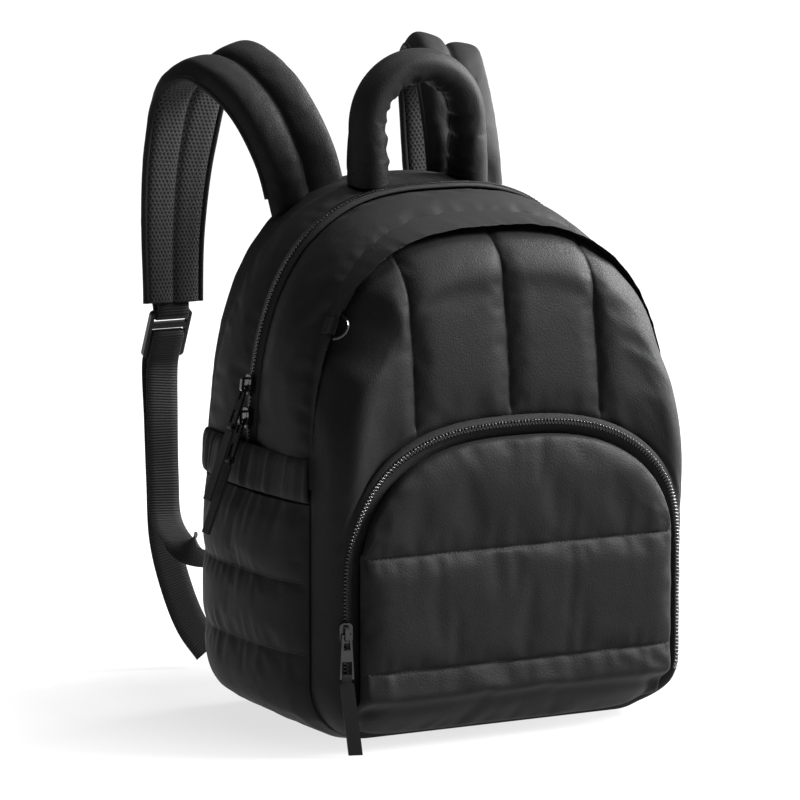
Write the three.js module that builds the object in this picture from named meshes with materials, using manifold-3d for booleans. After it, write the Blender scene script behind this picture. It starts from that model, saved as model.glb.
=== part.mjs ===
// Quilted puffer backpack: a padded bag that stands on its base, with a front pocket, two side
// pockets, a ruffled grab handle and two shoulder straps with their webbing.
// Millimetres, Z up, X to the right as seen from the front, Y towards the wearer's back.
// The padded walls are shells: an outer grid of points, moved in by the wall's thickness.

import * as THREE from 'three';
import { mergeVertices } from 'three/addons/utils/BufferGeometryUtils.js';
import Module from 'manifold-3d';

const wasm = await Module();
wasm.setup();

// Bag body
const bagWidth = 284;
const bagHeight = 377;
const bagDepth = 163;
const springHeight = 180;
const paddedWall = 5;
const gussetCrown = 4;
const frontPuff = 30;
const seamGap = 0.4;
const leanCurve = 1.35;

// Front face
const channelSeams = [-0.528, 0, 0.5];
const channelPuff = 5;
const pocketRecess = 20;

// Front pocket
const pocketHalfWidth = 131.6;
const pocketHeight = 220.5;
const pocketShoulder = 110;
const pocketRoundness = 2.6;
const pocketFoot = 34;
const pocketCoilEnd = 64;
const pocketWall = 4;
const pocketPuff = 8;
const pocketSeams = [0.617, 0.254];

// Zippers
const tapeWidth = 16;
const tapeThickness = 1.6;
const coilWidth = 6;
const coilHeight = 2.2;
const tapeReveal = 11;

// Side pockets
const sidePocketMouth = 202;
const bandHeight = 31;
const sidePocketWall = 3;
const sidePocketBulge = 18;
const mouthOpening = 4.5;
const mouthGrip = 1.5;
const gatherCount = 13;
const gatherDepth = 1.2;

// Grab handle
const handleSpread = 80;
const handleHeight = 94;
const handleDiameter = 28;
const handleSeat = 22;
const ruffleDepth = 1.6;

// Shoulder straps
const strapWidth = 60;
const strapEndWidth = 45;
const strapThickness = 13;
const strapReach = 129;
const strapAnchorSpread = 128;
const strapEndSpread = 220;
const strapAnchorDrop = 25;
const meshThickness = 3;

// Webbing and ladder locks
const webbingWidth = 25;
const webbingThickness = 1.6;
const lockWidth = 33;
const lockLength = 39;
const lockThickness = 4;
const lockBar = 4;
const lockSlot = 6;
const lockDrop = 24;
const runningGap = 0.5;

// Ring and its tab
const ringBar = 20;
const ringReach = 14;
const ringWire = 2.5;
const ringHeight = 291;
const ringTabWidth = 11.5;
const ringTabLength = 7.5;
const ringTabThickness = 2.4;

// Sliders, pulls and their fabric tabs
const sliderWidth = 9;
const sliderLength = 14;
const sliderBody = 3;
const bailWidth = 3;
const bailHeight = 5.4;
const pullWidth = 10;
const pullLength = 31;
const pullThickness = 1.6;
const pullTabWidth = 9.8;
const pullTabLength = 54;
const pullTabThickness = 1.8;
const sliderHeights = { pocket: 86, upper: 241, lower: 218 };
const pullLeans = { upper: 14.5, lower: 17.5 };
const pocketTabLean = 6;

const frontSeamDepth = -0.54 * bagDepth;
const halfWidth = bagWidth / 2;

// Seam lines round the bag: half width as a share of the bag's half width, top as a share of its
// height, roundness of the arch, and depths as shares of the bag's depth from the front seam at
// the floor: low on the straight sides, high at the top of the arch.
const seamTable = {
  back: { half: 0.986, top: 1.0, roundness: 2.55, low: 1.0, high: 0.804 },
  zipper: { half: 0.994, top: 0.988, roundness: 2.75, low: 0.57, high: 0.54 },
  front: { half: 1.0, top: 0.94, roundness: 2.65, low: 0.0, high: 0.16 },
};

// Sections of the base from the front seam (-1) over the zipper line (0) to the back seam (1):
// lift off the floor as a share of the bag's height, corner radius and side crown of its width.
const baseSections = [
  { station: -1.0, lift: 0.008, corner: 0.148, crown: 0.0 },
  { station: -0.8, lift: 0.0, corner: 0.148, crown: 0.009 },
  { station: -0.4, lift: 0.0, corner: 0.15, crown: 0.013 },
  { station: 0.0, lift: 0.0, corner: 0.155, crown: 0.01 },
  { station: 0.35, lift: 0.0, corner: 0.16, crown: 0.013 },
  { station: 0.7, lift: 0.0, corner: 0.165, crown: 0.01 },
  { station: 1.0, lift: 0.027, corner: 0.17, crown: 0.0 },
];

// Centre line of a shoulder strap: spread between the anchor's and the end's, reach behind the
// back panel, height above the anchor as a share of the bag's height, and roll in degrees.
const strapTable = [
  { spread: 0.0, reach: 0.0, height: 0.0, roll: 11 },
  { spread: 0.09, reach: 0.12, height: 0.106, roll: 13 },
  { spread: 0.3, reach: 0.37, height: 0.212, roll: 15 },
  { spread: 0.57, reach: 0.65, height: 0.257, roll: 16 },
  { spread: 0.78, reach: 0.86, height: 0.212, roll: 12 },
  { spread: 0.91, reach: 0.965, height: 0.088, roll: 6 },
  { spread: 0.98, reach: 1.0, height: -0.058, roll: 2 },
  { spread: 1.0, reach: 0.993, height: -0.207, roll: 0 },
];

// Rows of a side pocket from its band down: height as a share of the band's foot, or the turn
// round the bag's lower corner, and bulge as a share of the pocket's. The low bulges are seams.
const sidePocketRows = [
  { height: 1.0, bulge: 0.42 },
  { height: 0.91, bulge: 0.72 },
  { height: 0.77, bulge: 0.92 },
  { height: 0.68, bulge: 0.72 },
  { height: 0.6, bulge: 0.98 },
  { height: 0.47, bulge: 1.0 },
  { height: 0.385, bulge: 0.74 },
  { turn: 0.6, bulge: 0.92 },
  { turn: 0.53, bulge: 0.72 },
  { turn: 0.46, bulge: 0.4 },
  { turn: 0.39, bulge: 0.0 },
];

const colours = {
  nylon: new THREE.MeshStandardMaterial({ color: 0x1b1b1d, roughness: 0.62, metalness: 0 }),
  tape: new THREE.MeshStandardMaterial({ color: 0x141414, roughness: 0.8, metalness: 0 }),
  webbing: new THREE.MeshStandardMaterial({ color: 0x161616, roughness: 0.7, metalness: 0 }),
  spacer: new THREE.MeshStandardMaterial({ color: 0x121212, roughness: 0.9, metalness: 0 }),
  plastic: new THREE.MeshStandardMaterial({ color: 0x0d0d0d, roughness: 0.35, metalness: 0 }),
  metal: new THREE.MeshStandardMaterial({ color: 0x1a1a1a, roughness: 0.3, metalness: 1 }),
};

const bag = new THREE.Group();

function clamp(value, low, high) {
  return Math.min(Math.max(value, low), high);
}

function mix(a, b, share) {
  return a + (b - a) * share;
}

function ramp(value, from, to) {
  const share = clamp((value - from) / (to - from), 0, 1);
  return share * share * (3 - 2 * share);
}

function steps(count) {
  return Array.from({ length: count + 1 }, (_, i) => i / count);
}

function geometryFrom(points, triangles) {
  const geometry = new THREE.BufferGeometry();
  const flat = points.flatMap((p) => [p.x, p.y, p.z]);
  geometry.setAttribute('position', new THREE.Float32BufferAttribute(flat, 3));
  let volume = 0;
  for (const [a, b, c] of triangles) {
    volume += points[a].dot(new THREE.Vector3().crossVectors(points[b], points[c]));
  }
  const faces = volume < 0 ? triangles.map(([a, b, c]) => [a, c, b]) : triangles;
  geometry.setIndex(faces.flat());
  return geometry;
}

// Closed body between an outer and an inner grid of points, both as rows of equal length
function wallBetween(outer, inner) {
  const rows = outer.length;
  const columns = outer[0].length;
  const points = [...outer.flat(), ...inner.flat()];
  const triangles = [];
  const outerAt = (i, j) => i * columns + j;
  const innerAt = (i, j) => rows * columns + i * columns + j;
  const quad = (a, b, c, d) => triangles.push([a, b, c], [a, c, d]);
  for (let i = 0; i + 1 < rows; i++) {
    for (let j = 0; j + 1 < columns; j++) {
      quad(outerAt(i, j), outerAt(i + 1, j), outerAt(i + 1, j + 1), outerAt(i, j + 1));
      quad(innerAt(i, j), innerAt(i, j + 1), innerAt(i + 1, j + 1), innerAt(i + 1, j));
    }
  }
  for (let i = 0; i + 1 < rows; i++) {
    quad(outerAt(i, 0), innerAt(i, 0), innerAt(i + 1, 0), outerAt(i + 1, 0));
    const last = columns - 1;
    quad(outerAt(i + 1, last), innerAt(i + 1, last), innerAt(i, last), outerAt(i, last));
  }
  for (let j = 0; j + 1 < columns; j++) {
    quad(outerAt(0, j + 1), innerAt(0, j + 1), innerAt(0, j), outerAt(0, j));
    quad(outerAt(rows - 1, j), innerAt(rows - 1, j), innerAt(rows - 1, j + 1), outerAt(rows - 1, j + 1));
  }
  return geometryFrom(points, triangles);
}

// The grid moved in by the wall's thickness, away from the side that `centre` does not lie on
function movedIn(grid, thickness, centre) {
  const rows = grid.length;
  const columns = grid[0].length;
  const at = (i, j) => grid[clamp(i, 0, rows - 1)][clamp(j, 0, columns - 1)];
  const normals = grid.map((row, i) =>
    row.map((_, j) => {
      const along = new THREE.Vector3().subVectors(at(i + 1, j), at(i - 1, j));
      const across = new THREE.Vector3().subVectors(at(i, j + 1), at(i, j - 1));
      return along.cross(across).normalize();
    })
  );
  let facing = 0;
  grid.forEach((row, i) =>
    row.forEach((point, j) => {
      facing += normals[i][j].dot(new THREE.Vector3().subVectors(point, centre));
    })
  );
  const inward = facing > 0 ? -thickness : thickness;
  return grid.map((row, i) => row.map((point, j) => point.clone().addScaledVector(normals[i][j], inward)));
}

// Closed body through rings of equal length, its ends closed by fans round a seated middle
function sweepRings(rings, seat = (point) => point) {
  const count = rings[0].length;
  const points = rings.flat();
  const triangles = [];
  for (let i = 0; i + 1 < rings.length; i++) {
    for (let j = 0; j < count; j++) {
      const k = (j + 1) % count;
      triangles.push([i * count + j, i * count + k, (i + 1) * count + k]);
      triangles.push([i * count + j, (i + 1) * count + k, (i + 1) * count + j]);
    }
  }
  for (const [ring, turned] of [[0, true], [rings.length - 1, false]]) {
    const middle = new THREE.Vector3();
    rings[ring].forEach((point) => middle.addScaledVector(point, 1 / count));
    points.push(seat(middle));
    const centre = points.length - 1;
    for (let j = 0; j < count; j++) {
      const a = ring * count + j;
      const b = ring * count + ((j + 1) % count);
      triangles.push(turned ? [centre, b, a] : [centre, a, b]);
    }
  }
  return geometryFrom(points, triangles);
}

// Points of a profile, a list of [across, off] in shares of the section's width and height
function sectionPoints({ centre, across, off, width, height }, profile, seat = (point) => point) {
  return profile.map(([x, y]) => {
    const point = centre.clone().addScaledVector(across, x * width).addScaledVector(off, y * height);
    return seat(point);
  });
}

function addNode(name, geometry, material) {
  const mesh = new THREE.Mesh(geometry, material);
  mesh.name = name;
  bag.add(mesh);
  return mesh;
}

function toSolid(geometry) {
  const bare = new THREE.BufferGeometry();
  bare.setAttribute('position', geometry.getAttribute('position').clone());
  if (geometry.index) bare.setIndex(geometry.index.clone());
  const merged = mergeVertices(bare, 1e-4);
  const mesh = new wasm.Mesh({
    numProp: 3,
    vertProperties: new Float32Array(merged.getAttribute('position').array),
    triVerts: new Uint32Array(merged.index.array),
  });
  return new wasm.Manifold(mesh);
}

function toGeometry(solid) {
  const mesh = solid.getMesh();
  const geometry = new THREE.BufferGeometry();
  geometry.setAttribute('position', new THREE.BufferAttribute(new Float32Array(mesh.vertProperties), 3));
  geometry.setIndex(new THREE.BufferAttribute(new Uint32Array(mesh.triVerts), 1));
  return geometry;
}

// A seam line: an arch on straight sides, leaning with its height
function makeSeam({ half, top, roundness, low, high }) {
  const width = half * halfWidth;
  const height = top * bagHeight;
  const rise = height - springHeight;
  return {
    width,
    height,
    rise,
    roundness,
    depthAt: (z) => {
      const share = clamp((z - springHeight) / rise, 0, 1) ** leanCurve;
      return frontSeamDepth + bagDepth * mix(low, high, share);
    },
    halfWidthAt: (z) => {
      const share = clamp((z - springHeight) / rise, 0, 1);
      return width * (1 - share ** roundness) ** (1 / roundness);
    },
    topAt: (x) => {
      const share = clamp(Math.abs(x) / width, 0, 1);
      return springHeight + rise * (1 - share ** roundness) ** (1 / roundness);
    },
    radiusAt: (angle) => {
      const across = Math.abs(Math.cos(angle)) / width;
      const up = Math.abs(Math.sin(angle)) / rise;
      return (across ** roundness + up ** roundness) ** (-1 / roundness);
    },
  };
}

const seams = {
  back: makeSeam(seamTable.back),
  zipper: makeSeam(seamTable.zipper),
  front: makeSeam(seamTable.front),
};

// Point of a seam's arch: angle 0 at the right spring, pi at the left one
function archPoint(seam, angle) {
  const radius = seam.radiusAt(angle);
  const z = springHeight + radius * Math.sin(angle);
  return new THREE.Vector3(radius * Math.cos(angle), seam.depthAt(z), z);
}

// Point of the upper wall: station -1 at the front seam, 0 on the zipper line, 1 at the back seam
function upperWallPoint(angle, station) {
  const middle = archPoint(seams.zipper, angle);
  const end = archPoint(station < 0 ? seams.front : seams.back, angle);
  const share = Math.abs(station);
  const crown = gussetCrown * Math.sin(Math.PI * share);
  const point = middle.clone().lerp(end, share);
  point.x += crown * Math.cos(angle);
  point.z += crown * Math.sin(angle);
  return point;
}

function sectionAt(station) {
  const upper = baseSections.findIndex((row) => row.station >= station - 1e-9);
  const b = baseSections[Math.max(upper, 1)];
  const a = baseSections[Math.max(upper, 1) - 1];
  const share = (station - a.station) / (b.station - a.station);
  return {
    lift: mix(a.lift, b.lift, share) * bagHeight,
    corner: mix(a.corner, b.corner, share) * bagWidth,
    crown: mix(a.crown, b.crown, share) * bagWidth,
  };
}

function stationWidth(station) {
  const end = station < 0 ? seams.front : seams.back;
  return mix(seams.zipper.width, end.width, Math.abs(station));
}

function stationDepth(station, z) {
  const end = station < 0 ? seams.front : seams.back;
  return mix(seams.zipper.depthAt(z), end.depthAt(z), Math.abs(station));
}

// Turns of the lower outline at which a corner starts and ends
const cornerTop = 0.6;
const cornerEnd = 0.25;

// Lower outline of the bag at a station, from a spring (turn 1) by the corner to the middle of
// the bottom (turn 0), with its outward direction
function lowerWall(station, turn, side) {
  const { lift, corner, crown } = sectionAt(station);
  const width = stationWidth(station) + crown;
  let x = width;
  let z = mix(lift + corner, springHeight, (turn - cornerTop) / (1 - cornerTop));
  let angle = 0;
  if (turn < cornerEnd) {
    x = (width - corner) * (turn / cornerEnd);
    z = lift;
    angle = Math.PI / 2;
  } else if (turn < cornerTop) {
    angle = ((cornerTop - turn) / (cornerTop - cornerEnd)) * (Math.PI / 2);
    x = width - corner + corner * Math.cos(angle);
    z = lift + corner - corner * Math.sin(angle);
  }
  const point = new THREE.Vector3(side * x, stationDepth(station, z), z);
  const outward = new THREE.Vector3(side * Math.cos(angle), 0, -Math.sin(angle));
  return { point, outward };
}

function bottomAt(seamStation, x) {
  const { lift, corner } = sectionAt(seamStation);
  const flat = stationWidth(seamStation) - corner;
  const over = clamp(Math.abs(x) - flat, 0, corner);
  return lift + corner - Math.sqrt(corner * corner - over * over);
}

// How far a point of the front or back face lies inside its seam line
function insetOf(seam, seamStation, x, z) {
  const { lift, corner } = sectionAt(seamStation);
  const width = Math.abs(x);
  if (z > springHeight) {
    const across = width / seam.width;
    const up = (z - springHeight) / seam.rise;
    const measure = (across ** seam.roundness + up ** seam.roundness) ** (1 / seam.roundness);
    const reach = Math.hypot(width, z - springHeight);
    return Math.max(0, measure > 0 ? (reach / measure) * (1 - measure) : seam.width);
  }
  const centreX = seam.width - corner;
  const centreZ = lift + corner;
  if (width > centreX && z < centreZ) {
    return Math.max(0, corner - Math.hypot(width - centreX, centreZ - z));
  }
  return Math.max(0, Math.min(seam.width - width, z - lift));
}

// Share of a puff: 0 on its seam, 1 where it is full
function puffShare(inset, reach, fullness) {
  const share = 1 - clamp(inset / reach, 0, 1);
  return (1 - share * share) ** fullness;
}

// Soft dip along the quilting seams
function quiltDip(value, quilting, pitch) {
  const nearest = Math.min(...quilting.map((seam) => Math.abs(value - seam)));
  return 1 - Math.sqrt(clamp(nearest / (pitch / 2), 0, 1));
}

// Pocket arch: 1 on the coil line, less inside it
function pocketMeasure(x, z) {
  const across = Math.abs(x) / pocketHalfWidth;
  const up = Math.max(0, z - pocketShoulder) / (pocketHeight - pocketShoulder);
  return (across ** pocketRoundness + up ** pocketRoundness) ** (1 / pocketRoundness);
}

// Front face without its pocket's recess
function fullFrontDepth(x, z) {
  const seam = seams.front;
  const low = 1 - ramp(z, springHeight, bagHeight * 0.77);
  const inset = insetOf(seam, -1, x, z);
  const share = puffShare(inset, mix(36, 22, low), mix(0.95, 0.5, low));
  const puff = mix(frontPuff * 1.1, frontPuff, low);
  return seam.depthAt(z) - seamGap - puff * share;
}

function frontDepth(x, z) {
  const full = fullFrontDepth(x, z);
  const seamDepth = seams.front.depthAt(z) - seamGap;
  const inset = insetOf(seams.front, -1, x, z);
  const inPocket = clamp((1 - pocketMeasure(x, z)) / 0.14, 0, 1);
  const quilted = ramp(pocketMeasure(x, z), 1.08, 1.25) * puffShare(inset, 40, 1);
  const channels = channelSeams.map((share) => share * halfWidth);
  const pitch = (channels[2] - channels[0]) / 2;
  const dip = channelPuff * quilted * (quiltDip(x, channels, pitch) - 0.35);
  const recessed = seamDepth - (frontPuff - pocketRecess) * puffShare(inset, 30, 1);
  return mix(full + dip, Math.max(recessed, full), inPocket);
}

// Rear side of the back panel
function backDepth(x, z) {
  const inset = insetOf(seams.back, 1, x, z);
  return seams.back.depthAt(z) + seamGap + paddedWall * (0.6 + puffShare(inset, 26, 0.6));
}

function buildGussets() {
  const archSteps = 22;
  const middle = new THREE.Vector3(0, 0, springHeight);
  const spring = seamGap / springHeight;
  const angles = steps(archSteps).map((share) => mix(Math.PI - spring, spring, share));
  const halfTape = tapeWidth / 2 + seamGap;
  const gusset = (seam, direction) => {
    const outer = angles.map((angle) => {
      const span = Math.abs(archPoint(seam, angle).y - archPoint(seams.zipper, angle).y);
      const stationOf = (share) => mix(halfTape / span, 1 - (1.5 * seamGap) / span, share);
      return steps(4).map((share) => upperWallPoint(angle, direction * stationOf(share)));
    });
    const inner = movedIn(outer, paddedWall, middle);
    inner.flat().forEach((point) => {
      const nearZipper = seams.zipper.depthAt(point.z) + direction * halfTape;
      const nearSeam = seam.depthAt(point.z) - direction * 1.5 * seamGap;
      point.y = clamp(point.y, Math.min(nearZipper, nearSeam), Math.max(nearZipper, nearSeam));
      point.z = Math.max(point.z, springHeight + seamGap / 2);
    });
    return wallBetween(outer, inner);
  };
  addNode('gusset_rear', gusset(seams.back, 1), colours.nylon);
  addNode('gusset_front', gusset(seams.front, -1), colours.nylon);
  return angles;
}

// Section of a zipper: two tapes with the coil proud of them
function zipperProfile(inner, outer) {
  const coil = coilWidth / 2;
  return [
    [-inner, 0],
    [outer, 0],
    [outer, tapeThickness],
    [coil, tapeThickness],
    [coil * 0.55, tapeThickness + coilHeight],
    [-coil * 0.55, tapeThickness + coilHeight],
    [-coil, tapeThickness],
    [-inner, tapeThickness],
  ];
}

function buildMainZipper(angles) {
  const profile = zipperProfile(tapeWidth / 2, tapeWidth / 2);
  const sections = angles.map((angle) => {
    const centre = archPoint(seams.zipper, angle);
    const before = archPoint(seams.zipper, angle + 0.02);
    const after = archPoint(seams.zipper, angle - 0.02);
    const along = after.sub(before).normalize();
    const across = new THREE.Vector3(0, 1, 0);
    const off = new THREE.Vector3().crossVectors(across, along).normalize();
    if (off.dot(centre.clone().sub(new THREE.Vector3(0, 0, springHeight))) < 0) off.negate();
    centre.addScaledVector(off, -tapeThickness);
    return { centre, across, off, width: 1, height: 1 };
  });
  const rings = sections.map((section) => sectionPoints(section, profile));
  addNode('main_zipper', sweepRings(rings), colours.tape);
}

function buildBase() {
  const sideTurns = [1, 0.8, 0.6, 0.53, 0.46, 0.39, 0.32, 0.25];
  const right = sideTurns.map((turn) => [turn, 1]);
  const left = sideTurns.toReversed().map((turn) => [turn, -1]);
  const turns = [...right, ...left];
  const outer = baseSections.map(({ station }) =>
    turns.map(([turn, side]) => {
      const { point } = lowerWall(station, turn, side);
      if (turn === 1) point.z -= seamGap;
      if (station === -1) point.y += seamGap;
      if (station === 1) point.y -= 2 * seamGap;
      return point;
    })
  );
  const inner = movedIn(outer, paddedWall, new THREE.Vector3(0, 0, springHeight));
  inner.flat().forEach((point) => {
    const front = seams.front.depthAt(point.z) + seamGap;
    const back = seams.back.depthAt(point.z) - seamGap;
    point.y = clamp(point.y, front, back - seamGap);
    point.z = Math.min(point.z, springHeight - seamGap);
  });
  addNode('base_panel', wallBetween(outer, inner), colours.nylon);
}

// Grid of a face: columns at shares of its width, rows from its bottom to its top
function faceGrid(seam, seamStation, columns, rows, depth) {
  return columns.map((share) => {
    const x = share * seam.width;
    const { lift, corner } = sectionAt(seamStation);
    const bottom = Math.abs(share) === 1 ? lift + corner : bottomAt(seamStation, x);
    const top = seam.topAt(x);
    return rows.map((row) => {
      const z = mix(bottom, top, row);
      return new THREE.Vector3(x, depth(x, z), z);
    });
  });
}

function buildFrontPanel() {
  const side = [0.62, 0.72, 0.81, 0.88, 0.93, 0.965, 0.99, 1];
  const left = [...side.toReversed().map((share) => -share), channelSeams[0], -0.42, -0.26, -0.1];
  const columns = [...left, channelSeams[1], 0.1, 0.25, 0.4, channelSeams[2], ...side];
  const low = [0, 0.01, 0.035, 0.08, 0.17, 0.3, 0.42, 0.52];
  const rows = [...low, 0.6, 0.67, 0.75, 0.83, 0.89, 0.94, 0.975, 0.993, 1];
  const outer = faceGrid(seams.front, -1, columns, rows, frontDepth);
  const inner = movedIn(outer, paddedWall, new THREE.Vector3(0, 0, springHeight));
  inner.flat().forEach((point) => {
    point.y = Math.min(point.y, seams.front.depthAt(point.z) - seamGap);
  });
  addNode('front_panel', wallBetween(outer, inner), colours.nylon);
}

function buildBackPanel() {
  const side = [0.3, 0.6, 0.8, 0.9, 0.96, 1];
  const columns = [...side.toReversed().map((share) => -share), 0, ...side];
  const rows = [0, 0.02, 0.06, 0.14, 0.35, 0.52, 0.64, 0.74, 0.84, 0.92, 0.97, 1];
  const outer = faceGrid(seams.back, 1, columns, rows, backDepth);
  const inner = faceGrid(seams.back, 1, columns, rows, (x, z) => seams.back.depthAt(z) + 2 * seamGap);
  addNode('back_panel', wallBetween(outer, inner), colours.nylon);
}

// Coil line of the front pocket, from its left foot over the arch to its right foot, as [x, z]
function pocketLine() {
  const low = [0, 0.19, 0.4, 0.7].map((share) => {
    const z = mix(pocketFoot, pocketShoulder, share);
    const follow = insetOf(seams.front, -1, pocketHalfWidth, z);
    return [pocketHalfWidth - Math.max(0, halfWidth - pocketHalfWidth - follow), z];
  });
  const arch = steps(20).map((share) => {
    const angle = Math.PI * (1 - share);
    const across = Math.abs(Math.cos(angle)) / pocketHalfWidth;
    const up = Math.sin(angle) / (pocketHeight - pocketShoulder);
    const measure = (across ** pocketRoundness + up ** pocketRoundness) ** (1 / pocketRoundness);
    const radius = 1 / measure;
    return [radius * Math.cos(angle), pocketShoulder + radius * Math.sin(angle)];
  });
  return [...low.map(([x, z]) => [-x, z]), ...arch, ...low.toReversed()];
}

// The same line moved towards the pocket's middle
function lineInset(line, distance) {
  return line.map((_, i) => {
    const [x0, z0] = line[Math.max(i - 1, 0)];
    const [x1, z1] = line[Math.min(i + 1, line.length - 1)];
    const length = Math.hypot(x1 - x0, z1 - z0);
    return [line[i][0] + ((z1 - z0) / length) * distance, line[i][1] - ((x1 - x0) / length) * distance];
  });
}

function tapeBackDepth(x, z) {
  return fullFrontDepth(x, z) - 3 * seamGap;
}

function buildPocketZipper() {
  const line = pocketLine();
  const outerEdge = lineInset(line, coilWidth / 2 - tapeWidth / 2);
  const innerEdge = lineInset(line, tapeReveal);
  const sections = line.map(([x, z], i) => {
    const outside = new THREE.Vector3(outerEdge[i][0], tapeBackDepth(...outerEdge[i]), outerEdge[i][1]);
    const centre = new THREE.Vector3(x, tapeBackDepth(x, z), z);
    const inside = new THREE.Vector3(innerEdge[i][0], centre.y - 1, innerEdge[i][1]);
    return { outside, centre, inside };
  });
  const forward = new THREE.Vector3(0, -1, 0);
  const towards = (from, to, distance) => {
    const length = from.distanceTo(to);
    return from.clone().lerp(to, distance / length);
  };
  const rings = sections.map(({ outside, centre, inside }) => {
    const left = towards(centre, outside, coilWidth / 2);
    const right = towards(centre, inside, coilWidth / 2);
    const raised = (point, height) => point.clone().addScaledVector(forward, height);
    const coilTop = tapeThickness + coilHeight;
    return [
      outside,
      centre,
      inside,
      raised(inside, tapeThickness),
      raised(right, tapeThickness),
      raised(centre.clone().lerp(right, 0.55), coilTop),
      raised(centre.clone().lerp(left, 0.55), coilTop),
      raised(left, tapeThickness),
      raised(outside, tapeThickness),
    ];
  });
  addNode('pocket_zipper', sweepRings(rings), colours.tape);
  return innerEdge;
}

// Pocket face: its rim lies on the zipper tape and, at the bottom, on the front face
function buildPocketPanel(tapeEdge) {
  const overlap = 3;
  const edge = lineInset(tapeEdge, -overlap);
  const footHeight = edge[0][1];
  const upperSeam = pocketSeams[0] * pocketHeight;
  const lowerSeam = pocketSeams[1] * pocketHeight;
  const across = steps(16).map((share) => mix(-1, 1, share));
  const edgeAt = (height) => {
    const left = edge.findIndex(([, z]) => z >= height);
    const [x0, z0] = edge[left - 1];
    const [x1, z1] = edge[left];
    return -mix(x0, x1, (height - z0) / (z1 - z0));
  };
  const archStart = upperSeam + 2 * pocketPuff;
  const arch = edge.filter(([, z]) => z > archStart);
  const archEnd = edgeAt(archStart);
  const archLine = [[-archEnd, archStart], ...arch, [archEnd, archStart]];
  const archCurve = new THREE.CatmullRomCurve3(archLine.map(([x, z]) => new THREE.Vector3(x, 0, z)));
  const topRow = across.map((share) => {
    const point = archCurve.getPointAt((share + 1) / 2);
    return [point.x, point.z];
  });
  const level = (height) => across.map((share) => [share * edgeAt(height), height]);
  const bottomRow = across.map((share) => {
    const x = share * edgeAt(footHeight + 1);
    const rounded = Math.abs(share) ** 6;
    return [x, mix(bottomAt(-1, x) + 3, footHeight, rounded)];
  });
  const between = (a, b, share) => a.map(([x, z], i) => [mix(x, b[i][0], share), mix(z, b[i][1], share)]);
  const upper = level(upperSeam);
  const lower = level(lowerSeam);
  const plan = [
    topRow,
    between(topRow, upper, 0.06),
    between(topRow, upper, 0.2),
    between(topRow, upper, 0.5),
    between(topRow, upper, 0.85),
    upper,
    between(upper, lower, 0.13),
    between(upper, lower, 0.5),
    between(upper, lower, 0.87),
    lower,
    between(lower, bottomRow, 0.18),
    between(lower, bottomRow, 0.55),
    between(lower, bottomRow, 0.85),
    bottomRow,
  ];
  const quilting = [upperSeam, lowerSeam];
  const pitch = upperSeam - lowerSeam;
  const rimDepth = (x, z, inset) => {
    const onTape = ramp(z, footHeight - 12, footHeight - 1);
    const tapeX = clamp(x, -pocketHalfWidth, pocketHalfWidth);
    const tape = tapeBackDepth(tapeX, z) - 1 - tapeThickness;
    return mix(frontDepth(x, z), tape, Math.max(onTape, ramp(inset, 0, 30) * 0.6)) - 1.5 * seamGap;
  };
  const outer = plan.map((row, i) =>
    row.map(([x, z], j) => {
      const sideEdge = edgeAt(clamp(z, footHeight + 1, upperSeam));
      const sideInset = Math.max(sideEdge - Math.abs(x), 0);
      const footInset = z - bottomRow[j][1];
      const topInset = topRow[j][1] - z;
      const rim = i === 0 || i === plan.length - 1 || j === 0 || j === row.length - 1;
      const inset = rim ? 0 : Math.min(sideInset, footInset, topInset);
      const puff = pocketPuff * puffShare(inset, 22, 0.7) * (1 - 0.75 * quiltDip(z, quilting, pitch));
      return new THREE.Vector3(x, rimDepth(x, z, inset) - pocketWall - puff, z);
    })
  );
  const inner = outer.map((row, i) =>
    row.map((point, j) => {
      const rim = i === 0 || i === plan.length - 1 || j === 0 || j === row.length - 1;
      const moved = point.clone();
      moved.y += pocketWall;
      if (rim) moved.y = rimDepth(point.x, point.z, 0);
      return moved;
    })
  );
  addNode('pocket_panel', wallBetween(outer, inner), colours.nylon);
}

const pocketStations = [-1, -0.9, -0.8, -0.6, -0.4, -0.2, 0, 0.175, 0.35, 0.525, 0.7, 0.88, 1];

function buildSidePocket(side, name) {
  const bandFoot = sidePocketMouth - bandHeight;
  const turnAt = (z, station) => {
    const { lift, corner } = sectionAt(station);
    const share = (z - lift - corner) / (springHeight - lift - corner);
    return mix(cornerTop, 1, share);
  };
  const mouthHeight = bandFoot - seamGap;
  const row = ({ height, turn, bulge }, lift) =>
    pocketStations.map((station) => {
      const inStation = clamp(station, -0.985, 0.985);
      const lineTurn = turn ?? turnAt(height * mouthHeight, inStation);
      const { point, outward } = lowerWall(inStation, lineTurn, side);
      const span = Math.sin((Math.PI * (station + 1)) / 2) ** 0.55;
      return point.addScaledVector(outward, seamGap + lift + sidePocketBulge * span * bulge);
    });
  const outer = sidePocketRows.map((line) => row(line, sidePocketWall));
  const inner = sidePocketRows.map((line) => row(line, 0));
  addNode(name, wallBetween(outer, inner), colours.nylon);
}

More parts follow.
